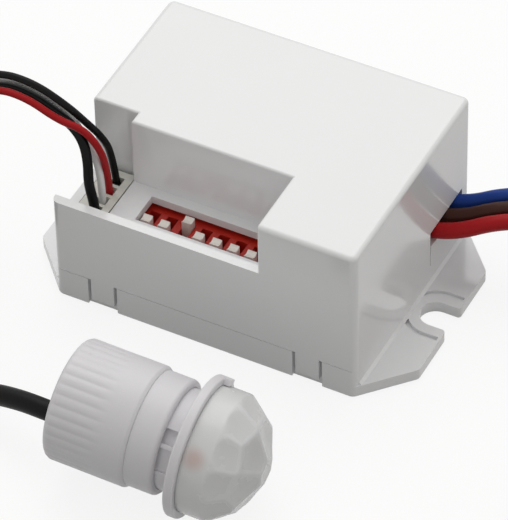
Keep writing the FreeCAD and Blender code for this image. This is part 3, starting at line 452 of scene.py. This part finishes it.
def start_material(name):
    """A material's tree, its shader and its place in millimetres."""
    material = bpy.data.materials.new(name)
    material.use_nodes = True
    tree = material.node_tree
    shader = tree.nodes["Principled BSDF"]
    where = add_node(tree, "ShaderNodeTexCoord").outputs["Object"]
    scaled = add_node(tree, "ShaderNodeVectorMath", {"Scale": 1 / MM}, {0: where},
                      operation="SCALE")
    return material, tree, shader, scaled.outputs[0]


def roughen(tree, shader, wear, height, roughness, relief):
    """Varies the gloss by wear and the bumps by height, two textures. relief is in millimetres."""
    gloss = add_node(tree, "ShaderNodeMapRange", {3: roughness[0], 4: roughness[1]}, {0: wear})
    tree.links.new(gloss.outputs[0], shader.inputs["Roughness"])
    bump = add_node(tree, "ShaderNodeBump", {"Strength": 1.0, "Distance": relief * MM},
                    {"Height": height})
    tree.links.new(bump.outputs[0], shader.inputs["Normal"])


def moulded(name, colour, roughness, ior, grain, relief, mottle, **extra):
    """A moulded or extruded polymer.

    grain is the size of its surface texture and relief that texture's depth, both in
    millimetres. A real grain under 0.1 mm is drawn as coarse as it needs to show. mottle is
    the share by which its colour varies, in clouds of about 8 mm, as a flowing melt leaves.
    """
    material, tree, shader, where = start_material(name)
    shader.inputs["IOR"].default_value = ior
    for socket, value in extra.items():
        shader.inputs[socket.replace("_", " ")].default_value = value
    flow = add_node(tree, "ShaderNodeTexNoise", {"Scale": 0.12, "Detail": 3.0},
                    {"Vector": where})
    tint = add_node(tree, "ShaderNodeMix",
                    {6: shaded(colour, 1 - mottle), 7: shaded(colour, 1 + mottle)},
                    {0: flow.outputs["Fac"]}, data_type="RGBA")
    tree.links.new(tint.outputs[2], shader.inputs["Base Color"])
    texture = add_node(tree, "ShaderNodeTexNoise", {"Scale": 1 / grain, "Detail": 4.0},
                       {"Vector": where}).outputs["Fac"]
    roughen(tree, shader, texture, texture, (roughness * 0.85, roughness * 1.15), relief)
    return material


def metal(name, colour, roughness, grain, relief, stretch):
    """A bare metal. stretch lengthens its texture along an axis, as drawing metal does."""
    material, tree, shader, where = start_material(name)
    shader.inputs["Metallic"].default_value = 1.0
    drawn = add_node(tree, "ShaderNodeVectorMath", {1: stretch}, {0: where}, operation="MULTIPLY")
    texture = add_node(tree, "ShaderNodeTexNoise", {"Scale": 1 / grain, "Detail": 3.0},
                       {"Vector": drawn.outputs[0]}).outputs["Fac"]
    tint = add_node(tree, "ShaderNodeMix", {6: shaded(colour, 0.9), 7: shaded(colour, 1.05)},
                    {0: texture}, data_type="RGBA")
    tree.links.new(tint.outputs[2], shader.inputs["Base Color"])
    roughen(tree, shader, texture, texture, (roughness * 0.8, roughness * 1.25), relief)
    return material


def paint(material, mask, colour, metallic=None, roughness=None):
    """Lays another colour, and where given another surface, over a material by a mask."""
    tree = material.node_tree
    shader = tree.nodes["Principled BSDF"]
    below = shader.inputs["Base Color"].links[0].from_socket
    over = add_node(tree, "ShaderNodeMix", {7: opaque(colour)}, {0: mask, 6: below},
                    data_type="RGBA")
    tree.links.new(over.outputs[2], shader.inputs["Base Color"])
    if metallic is not None:
        bare = add_node(tree, "ShaderNodeMath", {1: metallic}, {0: mask}, operation="MULTIPLY")
        tree.links.new(bare.outputs[0], shader.inputs["Metallic"])
    if roughness is not None:
        dull = shader.inputs["Roughness"].links[0].from_socket
        gloss = add_node(tree, "ShaderNodeMix", {3: roughness}, {0: mask, 2: dull})
        tree.links.new(gloss.outputs[0], shader.inputs["Roughness"])
    return material


def tree_and_place(material):
    """A material's tree and its place in millimetres, from the node that start_material adds."""
    tree = material.node_tree
    return tree, next(node for node in tree.nodes if node.type == "VECT_MATH").outputs[0]


def beyond(material, axis, middle, reach):
    """A mask that is 1 further than reach from the middle along an axis, in millimetres."""
    tree, where = tree_and_place(material)
    split = add_node(tree, "ShaderNodeSeparateXYZ", None, {0: where})
    away = add_node(tree, "ShaderNodeMath", {1: middle}, {0: split.outputs[axis]},
                    operation="SUBTRACT")
    size = add_node(tree, "ShaderNodeMath", None, {0: away.outputs[0]}, operation="ABSOLUTE")
    return add_node(tree, "ShaderNodeMath", {1: reach}, {0: size.outputs[0]},
                    operation="GREATER_THAN").outputs[0]


def near(material, point, inner, outer):
    """A mask that fades from 1 to 0 between two distances from a point, in millimetres."""
    tree, where = tree_and_place(material)
    gap = add_node(tree, "ShaderNodeVectorMath", {1: tuple(point)}, {0: where},
                   operation="DISTANCE")
    fade = add_node(tree, "ShaderNodeMapRange", {1: inner, 2: outer, 3: 1.0, 4: 0.0},
                    {0: gap.outputs["Value"]}, interpolation_type="SMOOTHSTEP")
    return fade.outputs[0]


def laminate(name, colours, axis):
    """Glass-fibre board: solder mask over tracks on its faces, bare laminate on its cut edges.

    The tracks are as long as two pin pitches of 2.54 mm and half a pitch wide.
    """
    material, tree, shader, where = start_material(name)
    shader.inputs["IOR"].default_value = 1.55
    upright = Vector((0, 0, 1)).rotation_difference(axis).to_euler()
    flat = add_node(tree, "ShaderNodeVectorRotate", {"Rotation": upright}, {"Vector": where},
                    rotation_type="EULER_XYZ", invert=True)
    tracks = add_node(tree, "ShaderNodeTexBrick",
                      {"Color1": shaded(colours.board, 1.0), "Color2": shaded(colours.board, 1.35),
                       "Mortar": shaded(colours.board, 0.7), "Scale": 1.0, "Mortar Size": 0.14,
                       "Mortar Smooth": 0.2, "Brick Width": 5.08, "Row Height": 1.27},
                      {"Vector": flat.outputs[0]})
    texture = add_node(tree, "ShaderNodeTexNoise", {"Scale": 4.0, "Detail": 3.0}, {"Vector": where})
    facing = add_node(tree, "ShaderNodeVectorMath", {1: tuple(axis)},
                      {0: add_node(tree, "ShaderNodeNewGeometry").outputs["True Normal"]},
                      operation="DOT_PRODUCT")
    size = add_node(tree, "ShaderNodeMath", None, {0: facing.outputs["Value"]},
                    operation="ABSOLUTE")
    face = add_node(tree, "ShaderNodeMath", {1: 0.7}, {0: size.outputs[0]},
                    operation="GREATER_THAN").outputs[0]
    tint = add_node(tree, "ShaderNodeMix", {6: opaque(linear("B9A468"))},
                    {0: face, 7: tracks.outputs["Color"]}, data_type="RGBA")
    tree.links.new(tint.outputs[2], shader.inputs["Base Color"])
    height = add_node(tree, "ShaderNodeMath", {1: 0.2},
                      {0: tracks.outputs["Fac"], 2: texture.outputs["Fac"]},
                      operation="MULTIPLY_ADD").outputs[0]
    roughen(tree, shader, face, height, (0.5, 0.28), 0.02)
    return material


def lens_plastic(colours):
    """High-density polyethylene, moulded thin: milky and cloudy, painted paler along its ridges as
    a highlight, and with the indicator light's glow painted on as a faint reddish spot."""
    material = moulded("polyethylene_lens", colours.lens, roughness=0.26, ior=1.54, grain=1.6,
                       relief=0.03, mottle=0.05, Subsurface_Weight=0.5, Subsurface_Scale=0.0015,
                       Subsurface_Radius=(1.0, 0.97, 0.95))
    tree = material.node_tree
    # Painted highlight: the lens is painted paler, and made rougher, along its facet ridges
    ridges = add_node(tree, "ShaderNodeAttribute", attribute_name="ridge").outputs["Fac"]
    paint(material, ridges, linear("DCDCDF"), roughness=0.32)
    # Painted light: the indicator light's faint reddish glow, painted on around where it shows
    # through the skirt
    painted_glow = near(material, in_head(*LED_SEEN_AT) / MM, 0.2, 2.2)
    faint = add_node(tree, "ShaderNodeMath", {1: 0.45}, {0: painted_glow}, operation="MULTIPLY")
    return paint(material, faint.outputs[0], linear("C08A7E"))


def housing_finishes(colours):
    """The mouldings, insulation and metal that are seen from outside."""
    made = {}
    # ABS moulded in a polished tool: bright, even white that mirrors its surroundings softly
    made["abs"] = moulded("abs_polished_moulding", colours.housing, roughness=0.13, ior=1.54,
                          grain=0.9, relief=0.004, mottle=0.012)
    # Polypropylene, moulded: waxy white that lets a little light in
    made["polypropylene"] = moulded("polypropylene_moulded", colours.head, roughness=0.4, ior=1.49,
                                    grain=0.5, relief=0.006, mottle=0.02, Subsurface_Weight=0.3,
                                    Subsurface_Scale=0.001, Subsurface_Radius=(1.0, 0.94, 0.9))
    made["lens"] = lens_plastic(colours)
    # Glass-filled PBT, moulded: strong colour with a dull, faintly grained skin
    made["switch"] = moulded("pbt_switch_body", colours.switch, roughness=0.38, ior=1.55,
                             grain=0.25, relief=0.01, mottle=0.06)
    made["levers"] = moulded("pbt_levers", colours.levers, roughness=0.4, ior=1.55,
                             grain=0.25, relief=0.006, mottle=0.03)
    # Nylon, moulded: slightly yellow white with a soft sheen
    made["nylon"] = moulded("nylon_connector", colours.connector, roughness=0.42, ior=1.53,
                            grain=0.3, relief=0.008, mottle=0.03)
    # PVC extruded on wire: even colour with a smooth, slightly uneven skin that mirrors little
    for name in ("black", "white", "red", "brown", "blue"):
        made["pvc_" + name] = moulded("pvc_insulation_" + name, getattr(colours, name),
                                      roughness=0.42, ior=1.53, grain=1.4, relief=0.02,
                                      mottle=0.08, Specular_IOR_Level=0.14)
    # Rubber, moulded: dull and nearly black
    made["rubber"] = moulded("rubber_moulded", linear("1A1A1A"), roughness=0.7, ior=1.52,
                             grain=0.2, relief=0.02, mottle=0.1)
    # Nylon strap, moulded: dark with a fine, slightly glossy grain
    made["tie"] = moulded("nylon_tie", linear("1E1E1E"), roughness=0.45, ior=1.53,
                          grain=0.3, relief=0.03, mottle=0.08)
    # Copper or brass dipped in tin: greyish white metal with a soft shine
    made["tinned_pins"] = metal("tinned_brass_pins", TIN, roughness=0.3, grain=0.3,
                                relief=0.004, stretch=(1, 1, 0.2))
    made["tinned_strands"] = metal("tinned_copper_strands", TIN, roughness=0.28, grain=0.2,
                                   relief=0.004, stretch=(1, 1, 1))
    return made


def legs(material, name):
    """Bare tinned metal beyond the body that the material is made for."""
    return paint(material, beyond(material, *BODY_SPANS[name]), TIN, 1.0, 0.3)


def inner_finishes(colours):
    """The boards and the parts on them."""
    made = {}
    # Steel can, deep drawn and nickel plated: warm grey mirror with faint draw lines
    made["nickel_can"] = metal("nickel_plated_can", linear("C7C2B8"), roughness=0.2, grain=0.5,
                               relief=0.003, stretch=(0.2, 1, 1))
    # Silicon filter with a dark interference coating: nearly black, smooth as glass
    made["filter"] = moulded("coated_silicon_filter", linear("26222B"), roughness=0.08, ior=3.42,
                             grain=1.2, relief=0.001, mottle=0.25)
    # PBT case of the relay, moulded matt
    made["relay"] = moulded("pbt_relay_case", linear("17181B"), roughness=0.45, ior=1.55,
                            grain=0.3, relief=0.015, mottle=0.1)
    # Epoxy poured around a wound film: opaque yellow, thick and glossy
    made["film"] = moulded("epoxy_film_capacitor", linear("C79A1E"), roughness=0.22, ior=1.55,
                           grain=1.5, relief=0.02, mottle=0.05)
    # PET film shrunk on an aluminium can: dark sleeve with a pale stripe, bare metal on top
    for name, stripe in CAN_STRIPES.items():
        can = moulded(name.replace("can", "pet_sleeve"), linear("14213F"), roughness=0.24,
                      ior=1.57, grain=1.2, relief=0.004, mottle=0.06)
        paint(can, beyond(can, X, stripe - CAN_STRIPE_HALF, CAN_STRIPE_HALF), linear("B8BCC4"))
        made[name] = legs(can, name)
    # Epoxy moulding compound: matt black with a fine sandy skin, on tinned legs
    for name in ("bridge", "regulator", "chip"):
        case = moulded("epoxy_compound_" + name, linear("1C1C1D"), roughness=0.55, ior=1.55,
                       grain=0.12, relief=0.02, mottle=0.12)
        made[name] = legs(case, name)
    # Cement coating fired on a ceramic rod: chalky blue grey, with tinned end wires
    rod = moulded("cement_coated_resistor", linear("6E8798"), roughness=0.6, ior=1.5,
                  grain=0.15, relief=0.03, mottle=0.08)
    for start, code in BANDS:
        paint(rod, near(rod, (start, *BAND_AXIS), *BAND_EDGE), linear(code))
    made["resistor"] = legs(rod, "resistor")
    # Epoxy dipped over a ceramic disc: blue, glossy and slightly lumpy, on tinned legs
    dipped = moulded("epoxy_dipped_disc", linear("1F3F8C"), roughness=0.25, ior=1.55,
                     grain=2.0, relief=0.06, mottle=0.06)
    made["disc"] = legs(dipped, "disc")
    # Sintered ferrite: dull dark grey. Its waist is wound with enamelled copper wire
    core = moulded("sintered_ferrite", linear("2B2B2D"), roughness=0.6, ior=1.5,
                   grain=0.15, relief=0.02, mottle=0.15)
    inside = add_node(core.node_tree, "ShaderNodeMath", {0: 1.0},
                      {1: beyond(core, *BODY_SPANS["ferrite_waist"])}, operation="SUBTRACT")
    paint(core, inside.outputs[0], linear("A8542A"), 0.8, 0.3)
    made["ferrite"] = legs(core, "ferrite")
    # Epoxy cast around the chip: red and clear, or smoky and clear
    for name, title, code in (("led", "epoxy_led", "C8402E"),
                              ("light_chip", "epoxy_light_sensor", "8F8A7C")):
        made[name] = moulded(title, linear(code), roughness=0.12, ior=1.53, grain=0.8,
                             relief=0.002, mottle=0.05, Transmission_Weight=0.4)
    made["board"] = laminate("glass_fibre_board", colours, Vector((0, 0, 1)))
    head_axis = (in_head(1, 0, 0) - in_head(0, 0, 0)).normalized()
    made["round_board"] = laminate("glass_fibre_disc", colours, head_axis)
    return made


@functools.cache
def finishes():
    """Every material by the name of its finish, made once."""
    colours = bpy.context.scene.sensor_colours
    return {**housing_finishes(colours), **inner_finishes(colours)}


class SENSOR_OT_stage(bpy.types.Operator):
    """Adds the camera, the lamps, the world and the floor"""
    bl_idname = "sensor.stage"
    bl_label = "Stage"

    def execute(self, context):
        scene = context.scene
        stage = scene.sensor_stage
        scene.view_settings.view_transform = "Standard"
        camera = bpy.data.cameras.new("camera")
        camera.lens = CAMERA_LENS
        camera.sensor_width = 36.0
        camera.clip_start = 0.05
        camera.clip_end = 20.0
        view = bpy.data.objects.new("camera", camera)
        right = Vector(CAMERA_RIGHT).normalized()
        forward = Vector(CAMERA_FORWARD).normalized()
        up = right.cross(forward).normalized()
        right = forward.cross(up)
        turn = Matrix((right, up, -forward)).transposed().to_4x4()
        view.matrix_world = Matrix.Translation(CAMERA_PLACE) @ turn
        scene.collection.objects.link(view)
        scene.camera = view

        world = bpy.data.worlds.new("even_sky")
        scene.world = world
        world.use_nodes = True
        tree = world.node_tree
        seen = self.seen_directly(tree)
        strength = add_node(tree, "ShaderNodeMapRange", {3: stage.sky, 4: 1.0}, {0: seen})
        tree.links.new(strength.outputs[0], tree.nodes["Background"].inputs["Strength"])
        tint = add_node(tree, "ShaderNodeMix", {6: opaque(stage.sky_colour), 7: (1, 1, 1, 1)},
                        {0: seen}, data_type="RGBA")
        tree.links.new(tint.outputs[2], tree.nodes["Background"].inputs["Color"])

        self.lamp("overhead_lamp", stage.overhead, OVERHEAD_LAMP_SIZE, Vector(OVERHEAD_LAMP_PLACE))
        self.lamp("side_lamp", stage.side, SIDE_LAMP_SIZE, Vector(SIDE_LAMP_PLACE))
        self.floor(stage)
        return {"FINISHED"}

    def seen_directly(self, tree):
        """1 where the camera, a reflection or a clear piece shows the surface."""
        rays = add_node(tree, "ShaderNodeLightPath").outputs
        either = add_node(tree, "ShaderNodeMath", None,
                          {0: rays["Is Camera Ray"], 1: rays["Is Glossy Ray"]},
                          operation="MAXIMUM")
        return add_node(tree, "ShaderNodeMath", None,
                        {0: either.outputs[0], 1: rays["Is Transmission Ray"]},
                        operation="MAXIMUM").outputs[0]

    def lamp(self, name, power, size, position):
        """A square lamp that faces the object."""
        light = bpy.data.lights.new(name, "AREA")
        light.energy = power
        light.size = size
        lamp = bpy.data.objects.new(name, light)
        lamp.location = position
        lamp.rotation_euler = (-position).to_track_quat("-Z", "Y").to_euler()
        bpy.context.scene.collection.objects.link(lamp)

    def floor(self, stage):
        """Matt paint that shows as white paper with the object's soft shadow on it."""
        mesh = bpy.data.meshes.new("floor")
        size = FLOOR_REACH
        mesh.from_pydata([(-size, -size, 0), (size, -size, 0), (size, size, 0), (-size, size, 0)],
                         [], [(0, 1, 2, 3)])
        material = bpy.data.materials.new("painted_floor")
        material.use_nodes = True
        tree = material.node_tree
        shader = tree.nodes["Principled BSDF"]
        shader.inputs["Base Color"].default_value = opaque(stage.floor)
        shader.inputs["Roughness"].default_value = 0.9
        shader.inputs["Specular IOR Level"].default_value = 0.0
        white = add_node(tree, "ShaderNodeEmission", {"Color": (1, 1, 1, 1), "Strength": 1.0})
        paper = add_node(tree, "ShaderNodeBsdfDiffuse", {"Color": (0.97, 0.97, 0.97, 1)})
        pale = add_node(tree, "ShaderNodeMixShader", {0: 0.85},
                        {1: paper.outputs[0], 2: white.outputs[0]})
        mix = add_node(tree, "ShaderNodeMixShader", None,
                       {0: self.seen_directly(tree), 1: shader.outputs[0], 2: pale.outputs[0]})
        tree.links.new(mix.outputs[0], tree.nodes["Material Output"].inputs["Surface"])
        floor = new_object("floor", mesh, material)


class SENSOR_OT_cable(bpy.types.Operator):
    """Adds the sensor cable with its put-away coil, its sleeve and its tie"""
    bl_idname = "sensor.cable"
    bl_label = "Sensor cable"

    def execute(self, context):
        points = cable_points()
        cable = round_cord("sensor_cable", [points], CABLE_DIAMETER * MM, finishes()["pvc_black"])
        place(cable, "unit", "cable_jacket", "cable_from_plug", "cable_coil", "cable_to_head")
        sleeve = self.sleeve()
        dress("tie", "coil_tie")
        dress("rubber", "cable_grommet")
        return {"FINISHED"}

    def sleeve(self):
        """The rubber sleeve, tapered and grooved."""
        profile = list(SLEEVE_FACE)
        for groove in range(SLEEVE_GROOVES):
            middle = FIRST_GROOVE + groove * GROOVE_SPACING
            radius = SLEEVE_RADIUS - SLEEVE_TAPER * middle
            profile += [(middle + along, radius - depth) for along, depth in GROOVE_SHAPE]
        profile += SLEEVE_END
        sleeve = turned("cable_sleeve_rubber", at(*SLEEVE_START), SLEEVE_HEADING, profile,
                        finishes()["rubber"])
        place(sleeve, "unit", "cable_jacket", "cable_sleeve")
        return sleeve


class SENSOR_OT_plug_wires(bpy.types.Operator):
    """Adds the four wires from the plug to the cable's sleeve"""
    bl_idname = "sensor.plug_wires"
    bl_label = "Plug wires"

    def execute(self, context):
        for name, points in PLUG_WIRES.items():
            thick = name == "thick_black"
            diameter = (THICK_WIRE_DIAMETER if thick else WIRE_DIAMETER) * MM
            colour = name.split("_")[-1]
            wire = round_cord("plug_wire_" + name, [sleeved(points)], diameter,
                              finishes()["pvc_" + colour])
            place(wire, "unit", colour + "_insulation", WIRE_NODES[name])
        return {"FINISHED"}


class SENSOR_OT_leads(bpy.types.Operator):
    """Adds the three mains leads, their bare ends and their tie"""
    bl_idname = "sensor.leads"
    bl_label = "Mains leads"

    def strands(self, routes):
        """Six tinned strands twisted around a seventh at the end of each lead."""
        strands = []
        for points in routes:
            heading = (points[-1] - points[-2]).normalized()
            turn = Vector((1, 0, 0)).rotation_difference(heading).to_matrix()
            for strand in range(7):
                away = END_STRAND_DIAMETER if strand < 6 else 0
                line = []
                for step in range(7):
                    angle = math.radians(60 * strand + END_TWIST * step)
                    spoke = Vector((END_LENGTH * step / 6, away * math.cos(angle),
                                    away * math.sin(angle)))
                    line.append(points[-1] + turn @ spoke * MM)
                strands.append(line)
        ends = round_cord("stranded_lead_ends", strands, END_STRAND_DIAMETER * MM,
                          finishes()["tinned_strands"])
        place(ends, "unit", "tinned_metal", "lead_ends")
        return ends

    def execute(self, context):
        routes = {name: [at(*(Vector(LEAD_EXIT) + Vector(point))) for point in route]
                  for name, route in LEADS.items()}
        ends = self.strands(routes.values())
        for name, points in routes.items():
            lead = round_cord("mains_lead_" + name, [points], LEAD_DIAMETER * MM,
                              finishes()["pvc_" + name])
            place(lead, "unit", name + "_insulation", name + "_lead")
        dress("tie", "lead_tie")
        dress("tinned_strands", "lead_cores")
        return {"FINISHED"}


class SENSOR_OT_lens(bpy.types.Operator):
    """Adds the faceted lens"""
    bl_idname = "sensor.lens"
    bl_label = "Lens"

    def facets(self):
        """Directions that the facets face, in the head's own axes, and how far out they lie."""
        facets = []
        for count, tilt, start, distance in FACET_RINGS:
            lean = math.radians(tilt)
            for step in range(count):
                turn = math.radians(start + step * 360 / count)
                facets.append((Vector((math.cos(lean), -math.sin(lean) * math.sin(turn),
                                       math.sin(lean) * math.cos(turn))), distance * MM))
        return facets

    def outside(self, direction, facets, sizes):
        """How far the outside is from the dome's centre, with rounded ridges, and how much of a
        ridge is there, which sets where the lens is painted paler as a highlight."""
        away = math.sqrt(max(1e-9, 1 - direction.x ** 2))
        plain = [sizes.lens_sphere, sizes.lens_radius / max(away, 1e-6)]
        flats = []
        for facet, distance in facets:
            lean = direction.dot(facet)
            if lean > FACET_SIGHT:
                middle = max(0.0, 1 - (1 - lean) / FACET_SPREAD)
                flats.append(distance / lean - sizes.dish * middle)
        limits = sorted(plain + flats)
        total = sum(math.exp(-(limit - limits[0]) / sizes.ridge) for limit in limits)
        flats.sort()
        ridge = 0.0
        if len(flats) > 1:
            ridge = math.exp(-(flats[1] - limits[0]) / RIDGE_HIGHLIGHT_WIDTH)
        return limits[0] - sizes.ridge * math.log(total), ridge

    def inside(self, direction, sizes):
        """How far the smooth inside is from the dome's centre."""
        away = math.sqrt(max(1e-9, 1 - direction.x ** 2))
        skirt = (sizes.lens_radius - sizes.lens_wall) / max(away, 1e-6)
        return min(LENS_DOME_INSIDE * MM, skirt), 0.0

    def ring(self, tilt, reach):
        """A ring of the lens around its axis, and how much of a ridge each point has, for the
        painted highlight.
        """
        points = []
        ridges = []
        for step in range(LENS_POINTS_AROUND):
            turn = 2 * math.pi * step / LENS_POINTS_AROUND
            direction = Vector((math.cos(tilt), math.sin(tilt) * math.cos(turn),
                                math.sin(tilt) * math.sin(turn)))
            distance, ridge = reach(direction)
            points.append(HEAD_PLACE @ (direction * distance + Vector((LENS_CENTRE * MM, 0, 0))))
            ridges.append(ridge)
        return points, ridges

    def execute(self, context):
        sizes = context.scene.sensor_sizes
        facets = self.facets()
        seat = (LENS_CENTRE - FLANGE_HALF - LENS_SEAT_GAP) * MM
        rim = math.pi / 2 + math.asin(seat / sizes.lens_radius)
        inner_rim = math.pi / 2 + math.asin(seat / (sizes.lens_radius - sizes.lens_wall))
        rings = []
        for step in range(LENS_OUTER_RINGS + 1):
            share = TIP_SHARE + (1 - TIP_SHARE) * step / LENS_OUTER_RINGS
            rings.append(self.ring(rim * share, lambda d: self.outside(d, facets, sizes)))
        for step in range(LENS_INNER_RINGS, -1, -1):
            share = TIP_SHARE + (1 - TIP_SHARE) * step / LENS_INNER_RINGS
            rings.append(self.ring(inner_rim * share, lambda d: self.inside(d, sizes)))
        lens = lofted("faceted_lens", [points for points, ridges in rings], finishes()["lens"],
                      closed=False)
        # How much of a ridge each point has, which sets where the lens is painted paler as a
        # highlight
        values = [ridge for points, ridges in rings for ridge in ridges]
        lens.data.attributes.new("ridge", "FLOAT", "POINT").data.foreach_set("value", values)
        place(lens, "unit", "lens_plastic", "lens_dome")
        return {"FINISHED"}


class SENSOR_OT_clamp(bpy.types.Operator):
    """Adds the ribbed clamp nut and dresses the collar"""
    bl_idname = "sensor.clamp"
    bl_label = "Clamp nut"

    def ring(self, sizes, x, drop, rib):
        """A ring around the nut: its place, how far in it is, and how much of the ribs it has."""
        points = []
        count = sizes.rib_count * POINTS_PER_RIB
        for step in range(count):
            turn = 2 * math.pi * step / count
            wave = abs(math.sin(sizes.rib_count * turn / 2))
            radius = sizes.nut_radius / MM - drop - sizes.rib_depth / MM * rib * (1 - wave)
            points.append(in_head(x, radius * math.cos(turn), radius * math.sin(turn)))
        return points

    def execute(self, context):
        sizes = context.scene.sensor_sizes
        dress("polypropylene", "clamp_collar")
        front = -NUT_FRONT
        rear = front - NUT_LENGTH
        ribs_start = rear + NUT_REAR_EDGE
        bore = sizes.nut_radius / MM - NUT_BORE
        rings = [self.ring(sizes, rear, bore, 0)]
        for step in range(7):
            turn = math.radians(90 * step / 6)
            rings.append(self.ring(sizes, rear + NUT_REAR_EDGE * (1 - math.cos(turn)),
                                   NUT_REAR_EDGE * (1 - math.sin(turn)), step / 6))
        for step in range(1, 7):
            rings.append(self.ring(sizes, ribs_start + RIBS_FULL * step / 6, 0, 1))
        for step in range(1, 9):
            share = step / 8
            rings.append(self.ring(sizes, ribs_start + RIBS_FULL + RIBS_FADING * share, 0,
                                   1 - share * share * (3 - 2 * share)))
        for step in range(7):
            share = step / 6
            rings.append(self.ring(sizes, front - NUT_SHOULDER * (1 - share),
                                   NUT_SHOULDER_DROP * share * share * (2 - share), 0))
        rings.append(self.ring(sizes, front, bore, 0))
        nut = lofted("ribbed_clamp_nut", rings, finishes()["polypropylene"])
        place(nut, "nut_body", "head_housing", "clamp_nut")
        return {"FINISHED"}


class SENSOR_OT_housing(bpy.types.Operator):
    """Dresses the control box and the sensor head's body"""
    bl_idname = "sensor.housing"
    bl_label = "Housing"

    def execute(self, context):
        dress("abs", "top_cover", "base_tray")
        dress("polypropylene", "head_body")
        dress("switch", "dip_switch_body")
        dress("levers", *["dip_lever_%d" % way for way in range(1, 9)])
        dress("nylon", "sensor_socket", "sensor_plug")
        return {"FINISHED"}


class SENSOR_OT_electronics(bpy.types.Operator):
    """Dresses both boards with their parts and adds the wires inside the sensor head"""
    bl_idname = "sensor.electronics"
    bl_label = "Electronics"

    FINISH_OF = {
        "board": ["main_board"], "round_board": ["head_board"],
        "tinned_pins": ["dip_switch_pins", "socket_pins", "plug_contacts", "element_pins"],
        "relay": ["relay"], "film": ["filter_capacitor"],
        "can_main": ["main_capacitor"], "can_output": ["output_capacitor"],
        "bridge": ["bridge_rectifier"], "regulator": ["regulator"], "chip": ["control_chip"],
        "resistor": ["fuse_resistor"], "disc": ["surge_disc"], "ferrite": ["choke"],
        "nickel_can": ["motion_element"], "filter": ["element_window"],
        "led": ["indicator_led"], "light_chip": ["daylight_sensor"],
    }

    def execute(self, context):
        for finish, nodes in self.FINISH_OF.items():
            dress(finish, *nodes)
        routes = []
        for side in (-1, 1):
            for rise in (-1, 1):
                y = side * HEAD_WIRE_SPREAD
                z = rise * HEAD_WIRE_SPREAD - CABLE_DROP
                wide = y * HEAD_WIRE_FAN
                high = z * HEAD_WIRE_RISE
                routes.append([in_head(GROMMET_LENGTH - NECK_END, y, z),
                               in_head(HEAD_WIRE_BEND, y, z),
                               in_head(HEAD_WIRE_BEND / 2, wide, high),
                               in_head(FLANGE_HALF, wide, high)])
        wires = round_cord("head_inner_wires", routes, HEAD_WIRE_DIAMETER * MM,
                           finishes()["pvc_white"])
        place(wires, "unit", "white_insulation", "head_wires")
        return {"FINISHED"}


class SENSOR_PT_panel(bpy.types.Panel):
    """Lists the pieces of the motion sensor"""
    bl_idname = "SENSOR_PT_panel"
    bl_label = "Motion sensor"
    bl_space_type = "VIEW_3D"
    bl_region_type = "UI"
    bl_category = "Sensor"

    def draw(self, context):
        for name in GROUPS:
            group = getattr(context.scene, name)
            box = self.layout.box()
            for setting in group.bl_rna.properties.keys():
                if setting not in ("rna_type", "name"):
                    box.prop(group, setting)
        for operator in OPERATORS:
            self.layout.operator(operator.bl_idname)


GROUPS = {
    "sensor_colours": SensorColours,
    "sensor_sizes": SensorSizes,
    "sensor_stage": SensorStage,
}
OPERATORS = (
    SENSOR_OT_stage,
    SENSOR_OT_cable,
    SENSOR_OT_plug_wires,
    SENSOR_OT_leads,
    SENSOR_OT_lens,
    SENSOR_OT_clamp,
    SENSOR_OT_housing,
    SENSOR_OT_electronics,
)


def register():
    for name, group in GROUPS.items():
        bpy.utils.register_class(group)
        setattr(bpy.types.Scene, name, PointerProperty(type=group))
    for operator in OPERATORS:
        bpy.utils.register_class(operator)
    bpy.utils.register_class(SENSOR_PT_panel)


def unregister():
    bpy.utils.unregister_class(SENSOR_PT_panel)
    for operator in reversed(OPERATORS):
        bpy.utils.unregister_class(operator)
    for name, group in GROUPS.items():
        delattr(bpy.types.Scene, name)
        bpy.utils.unregister_class(group)


def main():
    register()
    for operator in OPERATORS:
        group, name = operator.bl_idname.split(".")
        getattr(getattr(bpy.ops, group), name)()


if __name__ == "__main__":
    main()
